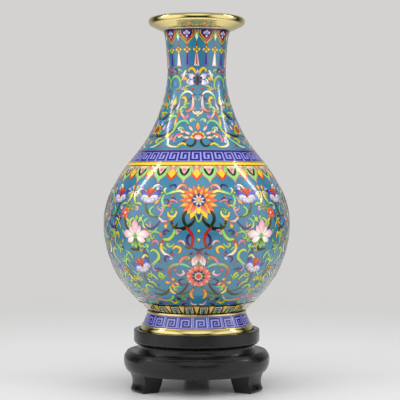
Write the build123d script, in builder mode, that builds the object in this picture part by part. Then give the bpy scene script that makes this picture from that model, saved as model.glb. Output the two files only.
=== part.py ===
from build123d import *
import os

# Cloisonne bottle vase, seated in the turned recess of a three-legged lacquered wood stand.
# Millimetres, +Z up. The origin is on the floor, under the vase's axis. The front faces -Y.

# ---------------------------------------------------------------- driving dimensions: the vase
VASE_FOOT_Z = 67.3
MOUTH_TOP_Z = 447.3
RIM_UNDER_Z = 431.4
BELLY_R = 113.0
BELLY_Z = 193.0
NECK_R = 35.7
NECK_Z = 380.0

ENAMEL_T = 1.0
COPPER_T = 1.5
LINING_T = 0.5
COPPER_IN = ENAMEL_T + COPPER_T
LINING_IN = COPPER_IN + LINING_T
WIRE_PROUD = 0.2
WIRE_W = 0.8

# (radius, height) down the finished outside of the vase, from above the rim joint to below the foot joint.
WALL_OUTLINE = [
    (43.0, 436.0),
    (40.6, 430.8),
    (37.2, 408.9),
    (NECK_R, NECK_Z),
    (40.6, 348.3),
    (49.2, 324.0),
    (61.5, 299.8),
    (80.1, 275.5),
    (97.0, 251.3),
    (108.1, 227.0),
    (BELLY_R, BELLY_Z),
    (104.4, 154.2),
    (92.0, 130.0),
    (71.3, 105.7),
    (57.0, 92.5),
]
WALL_STATIONS = 48

# Heights of the gilt border wires (lower edge), from the lappets at the foot to the rim.
LAPPET_WIRE_Z = 104.6
BELLY_WIRE_Z = 246.5
RUYI_WIRE_Z = 268.3
STRIP_WIRE_Z = 272.3
SHOULDER_WIRE_Z = 286.7
RIM_WIRE_Z = RIM_UNDER_Z - WIRE_W
TASSEL_LOW_Z = 386.0
MOUTH_BORDER_LOW_Z = 412.0

# Foot: a straight flaring skirt under the floor plate, on a gilt ring.
FLOOR_PLATE_Z = 92.1
FLOOR_PLATE_R = 58.7
INNER_FLOOR_R = 53.6
BASE_R = 56.9
FOOT_TOP_Z = 91.4
FOOT_TOP_R = 60.0
FOOT_LOW_Z = 77.7
FOOT_LOW_R = 65.9
JUNCTION_RING_W = 2.6
JUNCTION_RING_R = 60.4
FOOT_RING_R = 67.8
FOOT_RING_BORE_R = 62.5

# Rolled gilt mouth rim.
RIM_R = 58.3
RIM_MID_Z = 442.9
RIM_THROAT_R = 39.0

# ---------------------------------------------------------------- driving dimensions: the stand
PAD_T = 1.0
PAD_R = 68.0
SEAT_R = 76.2
SEAT_TOP_Z = 71.2
SEAT_LOW_Z = 53.9
RECESS_R = 69.4
RECESS_Z = VASE_FOOT_Z - PAD_T
WAIST_R = 71.0
APRON_TOP_Z = 45.7
APRON_R = 88.3
APRON_MID_Z = 35.0
APRON_LOW_Z = 21.2
APRON_LOW_R = 83.6

LEG_ANGLES = {"leg_right": -30.0, "leg_back": 90.0, "leg_left": 210.0}
LEG_TOP_W = 35.0
LEG_FOOT_W = 29.0
LEG_DEPTH_R = 59.0
LEG_BLANK_ARC = 40
CHEVRON_W = 9.0
CHEVRON_Z = 2.6
CHEVRON_FLOOR_R = 81.0
DOWEL_R = 4.0
DOWEL_LENGTH = 22.0
DOWEL_RING_R = 71.0
DOWEL_CLEAR = 0.05
SCREW_RING_R = 42.0
SCREW_R = 2.2
SCREW_HEAD_R = 4.6
SCREW_HEAD_H = 3.0
SCREW_LENGTH = 38.0
SCREW_CLEAR = 0.1

CUT = 1000.0

os.makedirs("parts", exist_ok=True)


def keep(piece, name):
    """Label a finished piece and write it as its own STEP file."""
    piece.part.label = name
    export_step(piece.part, f"parts/{name}.step")


# The finished outside of the wall, drawn once; every layer of the wall is a parallel of this curve.
WALL_LINE = Spline(*WALL_OUTLINE)


def wall_points(depth):
    """Points of the wall's curve, moved square to it by a depth below the finished surface."""
    points = []
    for station in range(WALL_STATIONS + 1):
        share = station / WALL_STATIONS
        place = WALL_LINE @ share
        along = WALL_LINE % share
        points.append((place.X + along.Y * depth, place.Y - along.X * depth))
    return points


def turned_layer(name, outer_depth, inner_depth, z_low, z_high):
    """A ring of the vase's wall between two depths, cut level at both ends."""
    with BuildPart() as layer:
        with BuildSketch(Plane.XZ):
            with BuildLine():
                outer = Spline(*wall_points(outer_depth))
                inner = Spline(*wall_points(inner_depth))
                Line(outer @ 0, inner @ 0)
                Line(outer @ 1, inner @ 1)
            make_face()
            with Locations((0, z_low)):
                Rectangle(CUT, z_high - z_low, align=(Align.CENTER, Align.MIN), mode=Mode.INTERSECT)
        revolve(axis=Axis.Z)
    keep(layer, name)


def foot_layer(name, outer_depth, inner_depth, z_low, z_high):
    """A ring of the straight foot skirt between two depths, cut level at both ends."""
    slope = (FOOT_LOW_R - FOOT_TOP_R) / (FOOT_TOP_Z - FOOT_LOW_Z)
    r_high = FOOT_TOP_R + (FOOT_TOP_Z - z_high) * slope
    r_low = FOOT_TOP_R + (FOOT_TOP_Z - z_low) * slope
    with BuildPart() as layer:
        with BuildSketch(Plane.XZ):
            with BuildLine():
                Polyline(
                    (r_high - outer_depth, z_high),
                    (r_low - outer_depth, z_low),
                    (r_low - inner_depth, z_low),
                    (r_high - inner_depth, z_high),
                    close=True,
                )
            make_face()
        revolve(axis=Axis.Z)
    keep(layer, name)


def plate(name, radius, z_low, thickness):
    """A plain round plate."""
    with BuildPart() as disc:
        with BuildSketch(Plane.XY.offset(z_low)):
            Circle(radius)
        extrude(amount=thickness)
    keep(disc, name)


# ---------------------------------------------------------------- copper body, raised in sections
turned_layer("copper_neck", ENAMEL_T, COPPER_IN, SHOULDER_WIRE_Z, RIM_UNDER_Z)
turned_layer("copper_shoulder", ENAMEL_T, COPPER_IN, BELLY_Z, SHOULDER_WIRE_Z)
turned_layer("copper_lower_belly", ENAMEL_T, COPPER_IN, FLOOR_PLATE_Z + COPPER_T, BELLY_Z)
foot_layer("copper_foot_skirt", ENAMEL_T, COPPER_IN, FOOT_LOW_Z, FLOOR_PLATE_Z)
plate("copper_floor_plate", FLOOR_PLATE_R, FLOOR_PLATE_Z, COPPER_T)

# ---------------------------------------------------------------- enamel coats, one per border or field
junction_top_z = FOOT_TOP_Z + JUNCTION_RING_W + 0.2
turned_layer("enamel_foot_lappets", 0, ENAMEL_T, junction_top_z, LAPPET_WIRE_Z)
turned_layer("enamel_belly_field", 0, ENAMEL_T, LAPPET_WIRE_Z + WIRE_W, BELLY_WIRE_Z)
turned_layer("enamel_ruyi_border", 0, ENAMEL_T, BELLY_WIRE_Z + WIRE_W, RUYI_WIRE_Z)
turned_layer("enamel_shoulder_strip", 0, ENAMEL_T, RUYI_WIRE_Z + WIRE_W, STRIP_WIRE_Z)
turned_layer("enamel_shoulder_fret", 0, ENAMEL_T, STRIP_WIRE_Z + WIRE_W, SHOULDER_WIRE_Z)
turned_layer("enamel_neck_field", 0, ENAMEL_T, SHOULDER_WIRE_Z + WIRE_W, TASSEL_LOW_Z)
turned_layer("enamel_tassel_band", 0, ENAMEL_T, TASSEL_LOW_Z, MOUTH_BORDER_LOW_Z)
turned_layer("enamel_mouth_border", 0, ENAMEL_T, MOUTH_BORDER_LOW_Z, RIM_WIRE_Z)
foot_layer("enamel_foot_fret", 0, ENAMEL_T, FOOT_LOW_Z, FOOT_TOP_Z)

lining_low_z = FLOOR_PLATE_Z + COPPER_T + LINING_T
turned_layer("enamel_inner_lining", COPPER_IN, LINING_IN, lining_low_z, RIM_UNDER_Z)
plate("enamel_inner_floor", INNER_FLOOR_R, FLOOR_PLATE_Z + COPPER_T, LINING_T)
plate("enamel_base", BASE_R, FLOOR_PLATE_Z - LINING_T, LINING_T)

# ---------------------------------------------------------------- gilt border wires and rings
WIRES = {
    "wire_lappets": LAPPET_WIRE_Z,
    "wire_belly": BELLY_WIRE_Z,
    "wire_ruyi": RUYI_WIRE_Z,
    "wire_strip": STRIP_WIRE_Z,
    "wire_shoulder": SHOULDER_WIRE_Z,
    "wire_rim": RIM_WIRE_Z,
}
for wire_name, wire_z in WIRES.items():
    turned_layer(wire_name, -WIRE_PROUD, ENAMEL_T, wire_z, wire_z + WIRE_W)

junction_bore_r = FOOT_TOP_R - ENAMEL_T
with BuildPart() as foot_junction_ring:
    with BuildSketch(Plane.XZ):
        with Locations((junction_bore_r, FOOT_TOP_Z + 0.1)):
            Rectangle(
                JUNCTION_RING_R - junction_bore_r,
                JUNCTION_RING_W,
                align=(Align.MIN, Align.MIN),
            )
    revolve(axis=Axis.Z)
    fillet(foot_junction_ring.edges().filter_by(GeomType.CIRCLE).group_by(SortBy.RADIUS)[-1], 0.7)
keep(foot_junction_ring, "gilt_foot_junction_ring")

# Foot ring: a small bead over a fuller one, flat underneath, turned open inside.
with BuildPart() as foot_ring:
    with BuildSketch(Plane.XZ):
        with BuildLine():
            Line((FOOT_RING_BORE_R, VASE_FOOT_Z), (FOOT_RING_BORE_R, FOOT_LOW_Z))
            Line((FOOT_RING_BORE_R, FOOT_LOW_Z), (FOOT_LOW_R, FOOT_LOW_Z))
            ThreePointArc((FOOT_LOW_R, FOOT_LOW_Z), (67.0, 76.7), (FOOT_LOW_R + 0.4, 75.6))
            ThreePointArc((FOOT_LOW_R + 0.4, 75.6), (FOOT_RING_R, 71.8), (FOOT_LOW_R + 0.9, 68.0))
            Line((FOOT_LOW_R + 0.9, 68.0), (FOOT_LOW_R + 0.2, VASE_FOOT_Z))
            Line((FOOT_LOW_R + 0.2, VASE_FOOT_Z), (FOOT_RING_BORE_R, VASE_FOOT_Z))
        make_face()
    revolve(axis=Axis.Z)
keep(foot_ring, "gilt_foot_ring")

# Mouth rim: a thick rolled lip; its top dishes down into the throat.
rim_under_r = WALL_OUTLINE[1][0] + 0.4
with BuildPart() as mouth_rim:
    with BuildSketch(Plane.XZ):
        with BuildLine():
            Line((RIM_THROAT_R - 0.6, RIM_UNDER_Z), (rim_under_r, RIM_UNDER_Z))
            Spline(
                (rim_under_r, RIM_UNDER_Z),
                (44.8, 432.8),
                (50.2, 435.2),
                (56.4, 438.4),
                (RIM_R, RIM_MID_Z),
                tangents=[(0.7, 0.7), (0, 1)],
            )
            Spline(
                (RIM_R, RIM_MID_Z),
                (56.6, 446.2),
                (53.2, MOUTH_TOP_Z),
                (49.0, 446.2),
                (43.0, 441.0),
                (RIM_THROAT_R - 0.6, RIM_UNDER_Z),
                tangents=[(0, 1), (-0.1, -1)],
            )
        make_face()
    revolve(axis=Axis.Z)
keep(mouth_rim, "gilt_mouth_rim")

# ---------------------------------------------------------------- stand
# Felt disc that lies loose in the recess, under the foot ring.
plate("felt_seat_pad", PAD_R, RECESS_Z, PAD_T)

with BuildPart() as seat:
    with BuildSketch(Plane.XZ):
        with BuildLine():
            Line((0, SEAT_LOW_Z), (WAIST_R - 0.5, SEAT_LOW_Z))
            ThreePointArc((WAIST_R - 0.5, SEAT_LOW_Z), (SEAT_R - 1.2, 55.4), (SEAT_R, 59.4))
            Line((SEAT_R, 59.4), (SEAT_R, SEAT_TOP_Z - 1.2))
            ThreePointArc(
                (SEAT_R, SEAT_TOP_Z - 1.2),
                (SEAT_R - 0.35, SEAT_TOP_Z - 0.35),
                (SEAT_R - 1.2, SEAT_TOP_Z),
            )
            Line((SEAT_R - 1.2, SEAT_TOP_Z), (RECESS_R + 0.8, SEAT_TOP_Z))
            Line((RECESS_R + 0.8, SEAT_TOP_Z), (RECESS_R, SEAT_TOP_Z - 0.8))
            Line((RECESS_R, SEAT_TOP_Z - 0.8), (RECESS_R, RECESS_Z))
            Line((RECESS_R, RECESS_Z), (0, RECESS_Z))
            Line((0, RECESS_Z), (0, SEAT_LOW_Z))
        make_face()
    revolve(axis=Axis.Z)
    screw_tip_z = APRON_LOW_Z + SCREW_LENGTH
    with BuildSketch(Plane.XY.offset(SEAT_LOW_Z)):
        with PolarLocations(SCREW_RING_R, 3, start_angle=30):
            Circle(SCREW_R + SCREW_CLEAR)
    extrude(amount=screw_tip_z - SEAT_LOW_Z + 0.5, mode=Mode.SUBTRACT)
keep(seat, "stand_seat")

with BuildPart() as waist:
    with BuildSketch(Plane.XZ):
        with BuildLine():
            Line((0, APRON_TOP_Z), (WAIST_R + 0.6, APRON_TOP_Z))
            ThreePointArc(
                (WAIST_R + 0.6, APRON_TOP_Z),
                (WAIST_R - 1.0, (APRON_TOP_Z + SEAT_LOW_Z) / 2),
                (WAIST_R - 0.5, SEAT_LOW_Z),
            )
            Line((WAIST_R - 0.5, SEAT_LOW_Z), (0, SEAT_LOW_Z))
            Line((0, SEAT_LOW_Z), (0, APRON_TOP_Z))
        make_face()
    revolve(axis=Axis.Z)
    with BuildSketch(Plane.XY.offset(APRON_TOP_Z)):
        with PolarLocations(SCREW_RING_R, 3, start_angle=30):
            Circle(SCREW_R + SCREW_CLEAR)
    extrude(amount=SEAT_LOW_Z - APRON_TOP_Z, mode=Mode.SUBTRACT)
keep(waist, "stand_waist")

# Apron: a full rolled edge, with a fine groove and bead round its shoulder.
with BuildPart() as apron:
    with BuildSketch(Plane.XZ):
        with BuildLine():
            Line((0, APRON_LOW_Z), (APRON_LOW_R, APRON_LOW_Z))
            ThreePointArc((APRON_LOW_R, APRON_LOW_Z), (87.0, 26.6), (APRON_R, APRON_MID_Z))
            ThreePointArc((APRON_R, APRON_MID_Z), (87.9, 38.8), (86.2, 42.4))
            Line((86.2, 42.4), (85.3, 42.6))
            ThreePointArc((85.3, 42.6), (85.0, 44.2), (83.6, 45.1))
            Line((83.6, 45.1), (82.4, 44.7))
            Line((82.4, 44.7), (81.4, APRON_TOP_Z))
            Line((81.4, APRON_TOP_Z), (0, APRON_TOP_Z))
            Line((0, APRON_TOP_Z), (0, APRON_LOW_Z))
        make_face()
    revolve(axis=Axis.Z)
    with BuildSketch(Plane.XY.offset(APRON_LOW_Z)):
        with PolarLocations(SCREW_RING_R, 3, start_angle=30):
            Circle(SCREW_R + SCREW_CLEAR)
    extrude(amount=APRON_TOP_Z - APRON_LOW_Z, mode=Mode.SUBTRACT)
    with BuildSketch(Plane.XY.offset(APRON_LOW_Z)):
        with PolarLocations(SCREW_RING_R, 3, start_angle=30):
            Circle(SCREW_HEAD_R + SCREW_CLEAR)
    extrude(amount=SCREW_HEAD_H + SCREW_CLEAR, mode=Mode.SUBTRACT)
    with BuildSketch(Plane.XY.offset(APRON_LOW_Z)):
        with PolarLocations(DOWEL_RING_R, 3, start_angle=-30):
            Circle(DOWEL_R + DOWEL_CLEAR)
    extrude(amount=DOWEL_LENGTH / 2 + 0.5, mode=Mode.SUBTRACT)
keep(apron, "stand_apron")

# One leg, drawn on the +X side: its front flows on from the apron, draws in, and flares to a toe.
with BuildPart() as leg_blank:
    with BuildSketch(Plane.XZ):
        with BuildLine():
            front = Spline(
                (APRON_LOW_R, APRON_LOW_Z),
                (81.3, 15.6),
                (81.2, 9.0),
                (83.4, 3.2),
                tangents=[(-0.55, -1), (0.5, -1)],
            )
            toe = ThreePointArc(front @ 1, (83.3, 1.4), (82.0, 0))
            Line(toe @ 1, (LEG_DEPTH_R + 3.0, 0))
            heel = Spline(
                (LEG_DEPTH_R + 3.0, 0),
                (LEG_DEPTH_R + 0.6, 9.0),
                (LEG_DEPTH_R - 1.0, APRON_LOW_Z),
            )
            Line(heel @ 1, front @ 0)
        make_face()
    revolve(axis=Axis.Z, revolution_arc=LEG_BLANK_ARC)

with BuildPart() as leg_shape:
    add(leg_blank.part.rotate(Axis.Z, -LEG_BLANK_ARC / 2))
    with BuildSketch(Plane.YZ) as leg_width:
        with BuildLine():
            Polyline(
                (-LEG_FOOT_W / 2, 0),
                (LEG_FOOT_W / 2, 0),
                (LEG_FOOT_W / 2 + 0.6, 5.0),
                (LEG_TOP_W / 2, APRON_LOW_Z),
                (-LEG_TOP_W / 2, APRON_LOW_Z),
                (-LEG_FOOT_W / 2 - 0.6, 5.0),
                close=True,
            )
        make_face()
    extrude(amount=APRON_R, mode=Mode.INTERSECT)
    # A chevron carved low on the front, and the dowel's hole in the top.
    with BuildSketch(Plane.YZ.offset(CHEVRON_FLOOR_R)):
        with BuildLine():
            Polyline(
                (-CHEVRON_W / 2, CHEVRON_Z + 3.4),
                (0, CHEVRON_Z),
                (CHEVRON_W / 2, CHEVRON_Z + 3.4),
                (CHEVRON_W / 2 - 0.6, CHEVRON_Z + 5.0),
                (0, CHEVRON_Z + 1.9),
                (-CHEVRON_W / 2 + 0.6, CHEVRON_Z + 5.0),
                close=True,
            )
        make_face()
    extrude(amount=APRON_R - CHEVRON_FLOOR_R, mode=Mode.SUBTRACT)
    with BuildSketch(Plane.XY.offset(APRON_LOW_Z - DOWEL_LENGTH / 2 - 0.5)):
        with Locations((DOWEL_RING_R, 0)):
            Circle(DOWEL_R + DOWEL_CLEAR)
    extrude(amount=DOWEL_LENGTH / 2 + 0.5, mode=Mode.SUBTRACT)

for leg_name, leg_angle in LEG_ANGLES.items():
    with BuildPart() as leg:
        add(leg_shape.part.rotate(Axis.Z, leg_angle))
    keep(leg, leg_name)

with BuildPart() as dowels:
    with BuildSketch(Plane.XY.offset(APRON_LOW_Z - DOWEL_LENGTH / 2)):
        with PolarLocations(DOWEL_RING_R, 3, start_angle=-30):
            Circle(DOWEL_R)
    extrude(amount=DOWEL_LENGTH)
    chamfer(dowels.edges().filter_by(GeomType.CIRCLE), 0.6)
keep(dowels, "leg_dowels")

with BuildPart() as screws:
    with BuildSketch(Plane.XY.offset(APRON_LOW_Z)):
        with PolarLocations(SCREW_RING_R, 3, start_angle=30):
            Circle(SCREW_R)
    extrude(amount=SCREW_LENGTH)
    with BuildSketch(Plane.XY.offset(APRON_LOW_Z)):
        with PolarLocations(SCREW_RING_R, 3, start_angle=30):
            Circle(SCREW_HEAD_R)
    extrude(amount=SCREW_HEAD_H)
keep(screws, "layer_screws")
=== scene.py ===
"""Looks of a cloisonne bottle vase in its black wooden stand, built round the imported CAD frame.

Every length is in metres, in the frame's own axes: +Z up, the front of the pattern towards -Y.
Drawings on the vase are made in degrees round the axis and millimetres of height, because that is
how a maker lays a pattern out on a turned wall; the Wall class turns both into places in space.
"""

import logging
import math
from collections.abc import Callable
from dataclasses import dataclass, field
from enum import Enum

import bpy
import numpy as np
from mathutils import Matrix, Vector


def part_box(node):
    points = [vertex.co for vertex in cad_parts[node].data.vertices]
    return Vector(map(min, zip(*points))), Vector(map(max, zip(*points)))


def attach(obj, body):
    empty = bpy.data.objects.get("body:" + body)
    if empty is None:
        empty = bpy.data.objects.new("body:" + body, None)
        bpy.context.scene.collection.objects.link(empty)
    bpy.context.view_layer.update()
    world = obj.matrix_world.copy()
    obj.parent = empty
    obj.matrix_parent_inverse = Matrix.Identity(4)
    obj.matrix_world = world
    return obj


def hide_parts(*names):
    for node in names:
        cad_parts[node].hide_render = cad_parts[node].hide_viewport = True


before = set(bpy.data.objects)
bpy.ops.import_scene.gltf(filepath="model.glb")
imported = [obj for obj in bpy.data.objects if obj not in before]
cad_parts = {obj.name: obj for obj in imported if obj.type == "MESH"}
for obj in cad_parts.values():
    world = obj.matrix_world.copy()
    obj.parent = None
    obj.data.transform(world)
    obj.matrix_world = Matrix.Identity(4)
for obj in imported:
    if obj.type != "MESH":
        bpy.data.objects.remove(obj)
log = logging.getLogger("vase")

MM = 0.001
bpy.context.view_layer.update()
Point = tuple[float, float]
Point3 = tuple[float, float, float]

# How the pattern lies on the wall, in millimetres out from it or along it.
WALL_SINK = 0.5
COAT_DEPTH = 1.0
LIFT_STEP = 0.010
STRIP_LIFT_STEP = LIFT_STEP / 3
BAR_LIFT_STEP = LIFT_STEP / 4
MIRROR_LIFT = 0.003
WIRE_W = 0.34
WIRE_RISE = 0.016
CELL_SPACING = 2.5
LINE_SPACING = 1.5

# Where each layer of the pattern starts, in millimetres over the ground.
GROUND_LAYER = 0.04
SCROLL_LAYER = 0.08
SPRAY_LAYER = 0.12
SIDE_SPRAY_LAYER = 0.20
FLOWER_LAYER = 0.22
NECK_FLOWER_LAYER = 0.24

# How shapes are drawn: shares, counts and degrees.
VINE_GAIN = 1.9
VINE_EVENNESS = 0.6
PETAL_SWELL = 1.12
TENDRIL_STEPS = 22
TENDRIL_TURN = 340.0
TENDRIL_WIDTH = 1.65
LEAF_STEP = 8
LEAF_SPLAY = 48
SPIRAL_STEP = 22
CELL_RINGS = (1.0, 0.6, 0.2)
CELL_RING_SHADES = (1.0, 0.45, 0.0)
STRIP_EDGE_SHADE = 0.82
FIRED_CONTRAST = 1.3

# Flats round a turned piece, and the sharpest bend that still looks smooth.
TURNED_FLATS = 192
FELT_FLATS = 120
FLOOR_FLATS = 96
SMOOTH_LIMIT = math.radians(50)


def linear(srgb: tuple[float, float, float]) -> tuple[float, float, float, float]:
    """Turn a display colour, 0 to 255 a channel, into a linear one with full alpha."""
    parts = [c / 255 for c in srgb]
    return (*[c / 12.92 if c <= 0.04045 else ((c + 0.055) / 1.055) ** 2.4 for c in parts], 1.0)


class Glaze(Enum):
    """Enamel colours of the palette, as display values."""

    TURQUOISE = (51, 121, 151)
    DEEP_TURQUOISE = (24, 104, 140)
    SKY = (96, 152, 208)
    LAVENDER = (118, 120, 212)
    PALE_LAVENDER = (172, 170, 232)
    PERIWINKLE = (142, 142, 224)
    NAVY = (30, 16, 128)
    PURPLE = (92, 50, 150)
    YELLOW = (248, 210, 54)
    PALE_YELLOW = (246, 232, 140)
    LEMON = (206, 224, 92)
    ORANGE = (244, 148, 38)
    SALMON = (250, 140, 92)
    CORAL = (240, 84, 40)
    RED = (220, 20, 12)
    DARK_RED = (140, 30, 18)
    PINK = (226, 158, 178)
    ROSE = (206, 120, 142)
    BLUSH = (244, 216, 214)
    WHITE = (250, 248, 244)
    CREAM = (244, 232, 190)
    PALE_GREEN = (168, 222, 130)
    MINT = (150, 222, 156)
    LEAF = (108, 176, 58)
    OLIVE = (96, 112, 62)
    DARK_GREEN = (20, 58, 22)
    SLATE = (70, 78, 138)
    BLACK = (16, 18, 22)
    BROWN = (146, 62, 34)

    @property
    def ink(self) -> np.ndarray:
        """The colour as a linear row, at the depth it has once fired."""
        row = np.array(linear(self.value))
        row[:3] = row[:3] ** FIRED_CONTRAST
        return row


# The palette's short name, for the drawings below.
G = Glaze


# ---------------------------------------------------------------- the turned wall


class Wall:
    """A turned wall: its radius, meridian length and outward normal, all by height in millimetres."""

    def __init__(self, heights: np.ndarray, radii: np.ndarray) -> None:
        """Resample the outline evenly and measure along it.

        Args:
            heights: heights of the outline's points, rising.
            radii: the radius at each.
        """
        step = 0.25
        self.z = np.arange(heights[0], heights[-1] + step / 2, step)
        rough = np.interp(self.z, heights, radii)
        pad = np.concatenate([rough[:1].repeat(6), rough, rough[-1:].repeat(6)])
        pad[:6] = rough[0] - (rough[6:0:-1] - rough[0])
        pad[-6:] = rough[-1] - (rough[-2:-8:-1] - rough[-1])
        self.r = np.convolve(pad, np.ones(13) / 13, "valid") - WALL_SINK
        self.s = np.concatenate([[0], np.cumsum(np.hypot(np.diff(self.r), np.diff(self.z)))])
        slope = np.gradient(self.r, self.z)
        size = np.hypot(1, slope)
        self.out = 1 / size
        self.up = -slope / size

    @classmethod
    def from_nodes(cls, names: list[str]) -> "Wall":
        """Read the outline off the outward faces of CAD nodes.

        Args:
            names: CAD nodes that make up the wall.

        Returns:
            The wall that passes through them.
        """
        rows = {}
        for name in names:
            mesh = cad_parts[name].data
            for face in mesh.polygons:
                outward = face.normal.x * face.center.x + face.normal.y * face.center.y
                if outward < 0.2 * face.center.xy.length:
                    continue
                for index in face.vertices:
                    x, y, z = mesh.vertices[index].co
                    rows[round(z / MM, 2)] = math.hypot(x, y) / MM
        heights = np.array(sorted(rows))
        return cls(heights, np.array([rows[z] for z in heights]))

    def radius(self, z: np.ndarray | float) -> np.ndarray:
        """Radius at a height."""
        return np.interp(z, self.z, self.r)

    def along(self, z: np.ndarray | float) -> np.ndarray:
        """Meridian length at a height."""
        return np.interp(z, self.z, self.s)

    def height(self, s: np.ndarray | float) -> np.ndarray:
        """Height at a meridian length."""
        return np.interp(s, self.s, self.z)

    def place(
        self, angle: np.ndarray, z: np.ndarray, lift: np.ndarray | float = 0.0
    ) -> tuple[np.ndarray, np.ndarray]:
        """Points on the wall and the outward normals there.

        Args:
            angle: radians round the axis from the front, growing to the right.
            z: heights.
            lift: distance out from the wall.

        Returns:
            Points and normals, in millimetres.
        """
        angle, z = np.broadcast_arrays(np.asarray(angle, float), np.asarray(z, float))
        out, up = np.interp(z, self.z, self.out), np.interp(z, self.z, self.up)
        normal = np.stack([out * np.sin(angle), -out * np.cos(angle), up], -1)
        r = self.radius(z)
        flat = np.stack([r * np.sin(angle), -r * np.cos(angle), z], -1)
        return flat + normal * np.asarray(lift)[..., None], normal


# ---------------------------------------------------------------- drawing on the wall


@dataclass
class Sheaf:
    """Vertices, faces and colours that grow as shapes are added."""

    points: list[np.ndarray] = field(default_factory=list)
    faces: list[np.ndarray] = field(default_factory=list)
    inks: list[np.ndarray] = field(default_factory=list)
    count: int = 0

    def add(self, points: np.ndarray, faces: np.ndarray, inks: np.ndarray) -> None:
        """Append one shape."""
        self.points.append(points)
        self.faces.append(faces + self.count)
        self.inks.append(inks)
        self.count += len(points)

    def arrays(self) -> tuple[np.ndarray, np.ndarray, np.ndarray]:
        """All shapes as one set of arrays: points, four-cornered faces and colours."""
        return np.concatenate(self.points), np.concatenate(self.faces), np.concatenate(self.inks)

    def turned(self, degrees: float, mirror: bool = False) -> "Sheaf":
        """A copy turned about the axis, and reflected through its centreline first if asked."""
        if not self.count:
            return Sheaf()
        points, faces, inks = self.arrays()
        points = points.copy()
        if mirror:
            points[:, 0] *= -1
            points[:, :2] *= 1 + MIRROR_LIFT / np.hypot(points[:, 0], points[:, 1])[:, None]
            faces = faces[:, [1, 0, 3, 2]]
        turn = math.radians(degrees)
        x = points[:, 0] * math.cos(turn) - points[:, 1] * math.sin(turn)
        points[:, 1] = points[:, 0] * math.sin(turn) + points[:, 1] * math.cos(turn)
        points[:, 0] = x
        copy = Sheaf()
        copy.add(points, faces, inks)
        return copy

    def join(self, other: "Sheaf") -> None:
        """Take in another sheaf's shapes."""
        if other.count:
            self.add(*other.arrays())


def rings_of_quads(rows: int, columns: int, closed: bool) -> np.ndarray:
    """Four-cornered faces of a grid of rows by columns, each row closed into a ring if asked."""
    wide = columns if closed else columns - 1
    row, column = np.meshgrid(np.arange(rows - 1), np.arange(wide), indexing="ij")
    right = (column + 1) % columns
    here, there = row * columns, (row + 1) * columns
    return np.stack([here + column, here + right, there + right, there + column], -1).reshape(-1, 4)


def smooth_line(points: np.ndarray, spacing: float, closed: bool = False) -> np.ndarray:
    """A rounded line through a few points.

    Args:
        points: the points, two columns.
        spacing: about how far apart the returned points are.
        closed: whether the line comes back to its start.

    Returns:
        Points along the line.
    """
    if closed:
        padded = np.concatenate([points[-1:], points, points[:2]])
    else:
        first, last = 2 * points[0] - points[1], 2 * points[-1] - points[-2]
        padded = np.concatenate([[first], points, [last]])
    line = []
    for a, b, c, d in zip(padded[:-3], padded[1:-2], padded[2:-1], padded[3:]):
        pieces = max(2, int(math.ceil(np.linalg.norm(c - b) / spacing)))
        t = (np.arange(pieces) / pieces)[:, None]
        pull_b, pull_c = (c - a) / 2, (d - b) / 2
        h = 2 * t**3 - 3 * t**2
        line.append((h + 1) * b + (t**3 - 2 * t**2 + t) * pull_b - h * c + (t**3 - t**2) * pull_c)
    if not closed:
        line.append(points[-1:])
    return np.concatenate(line)


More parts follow.
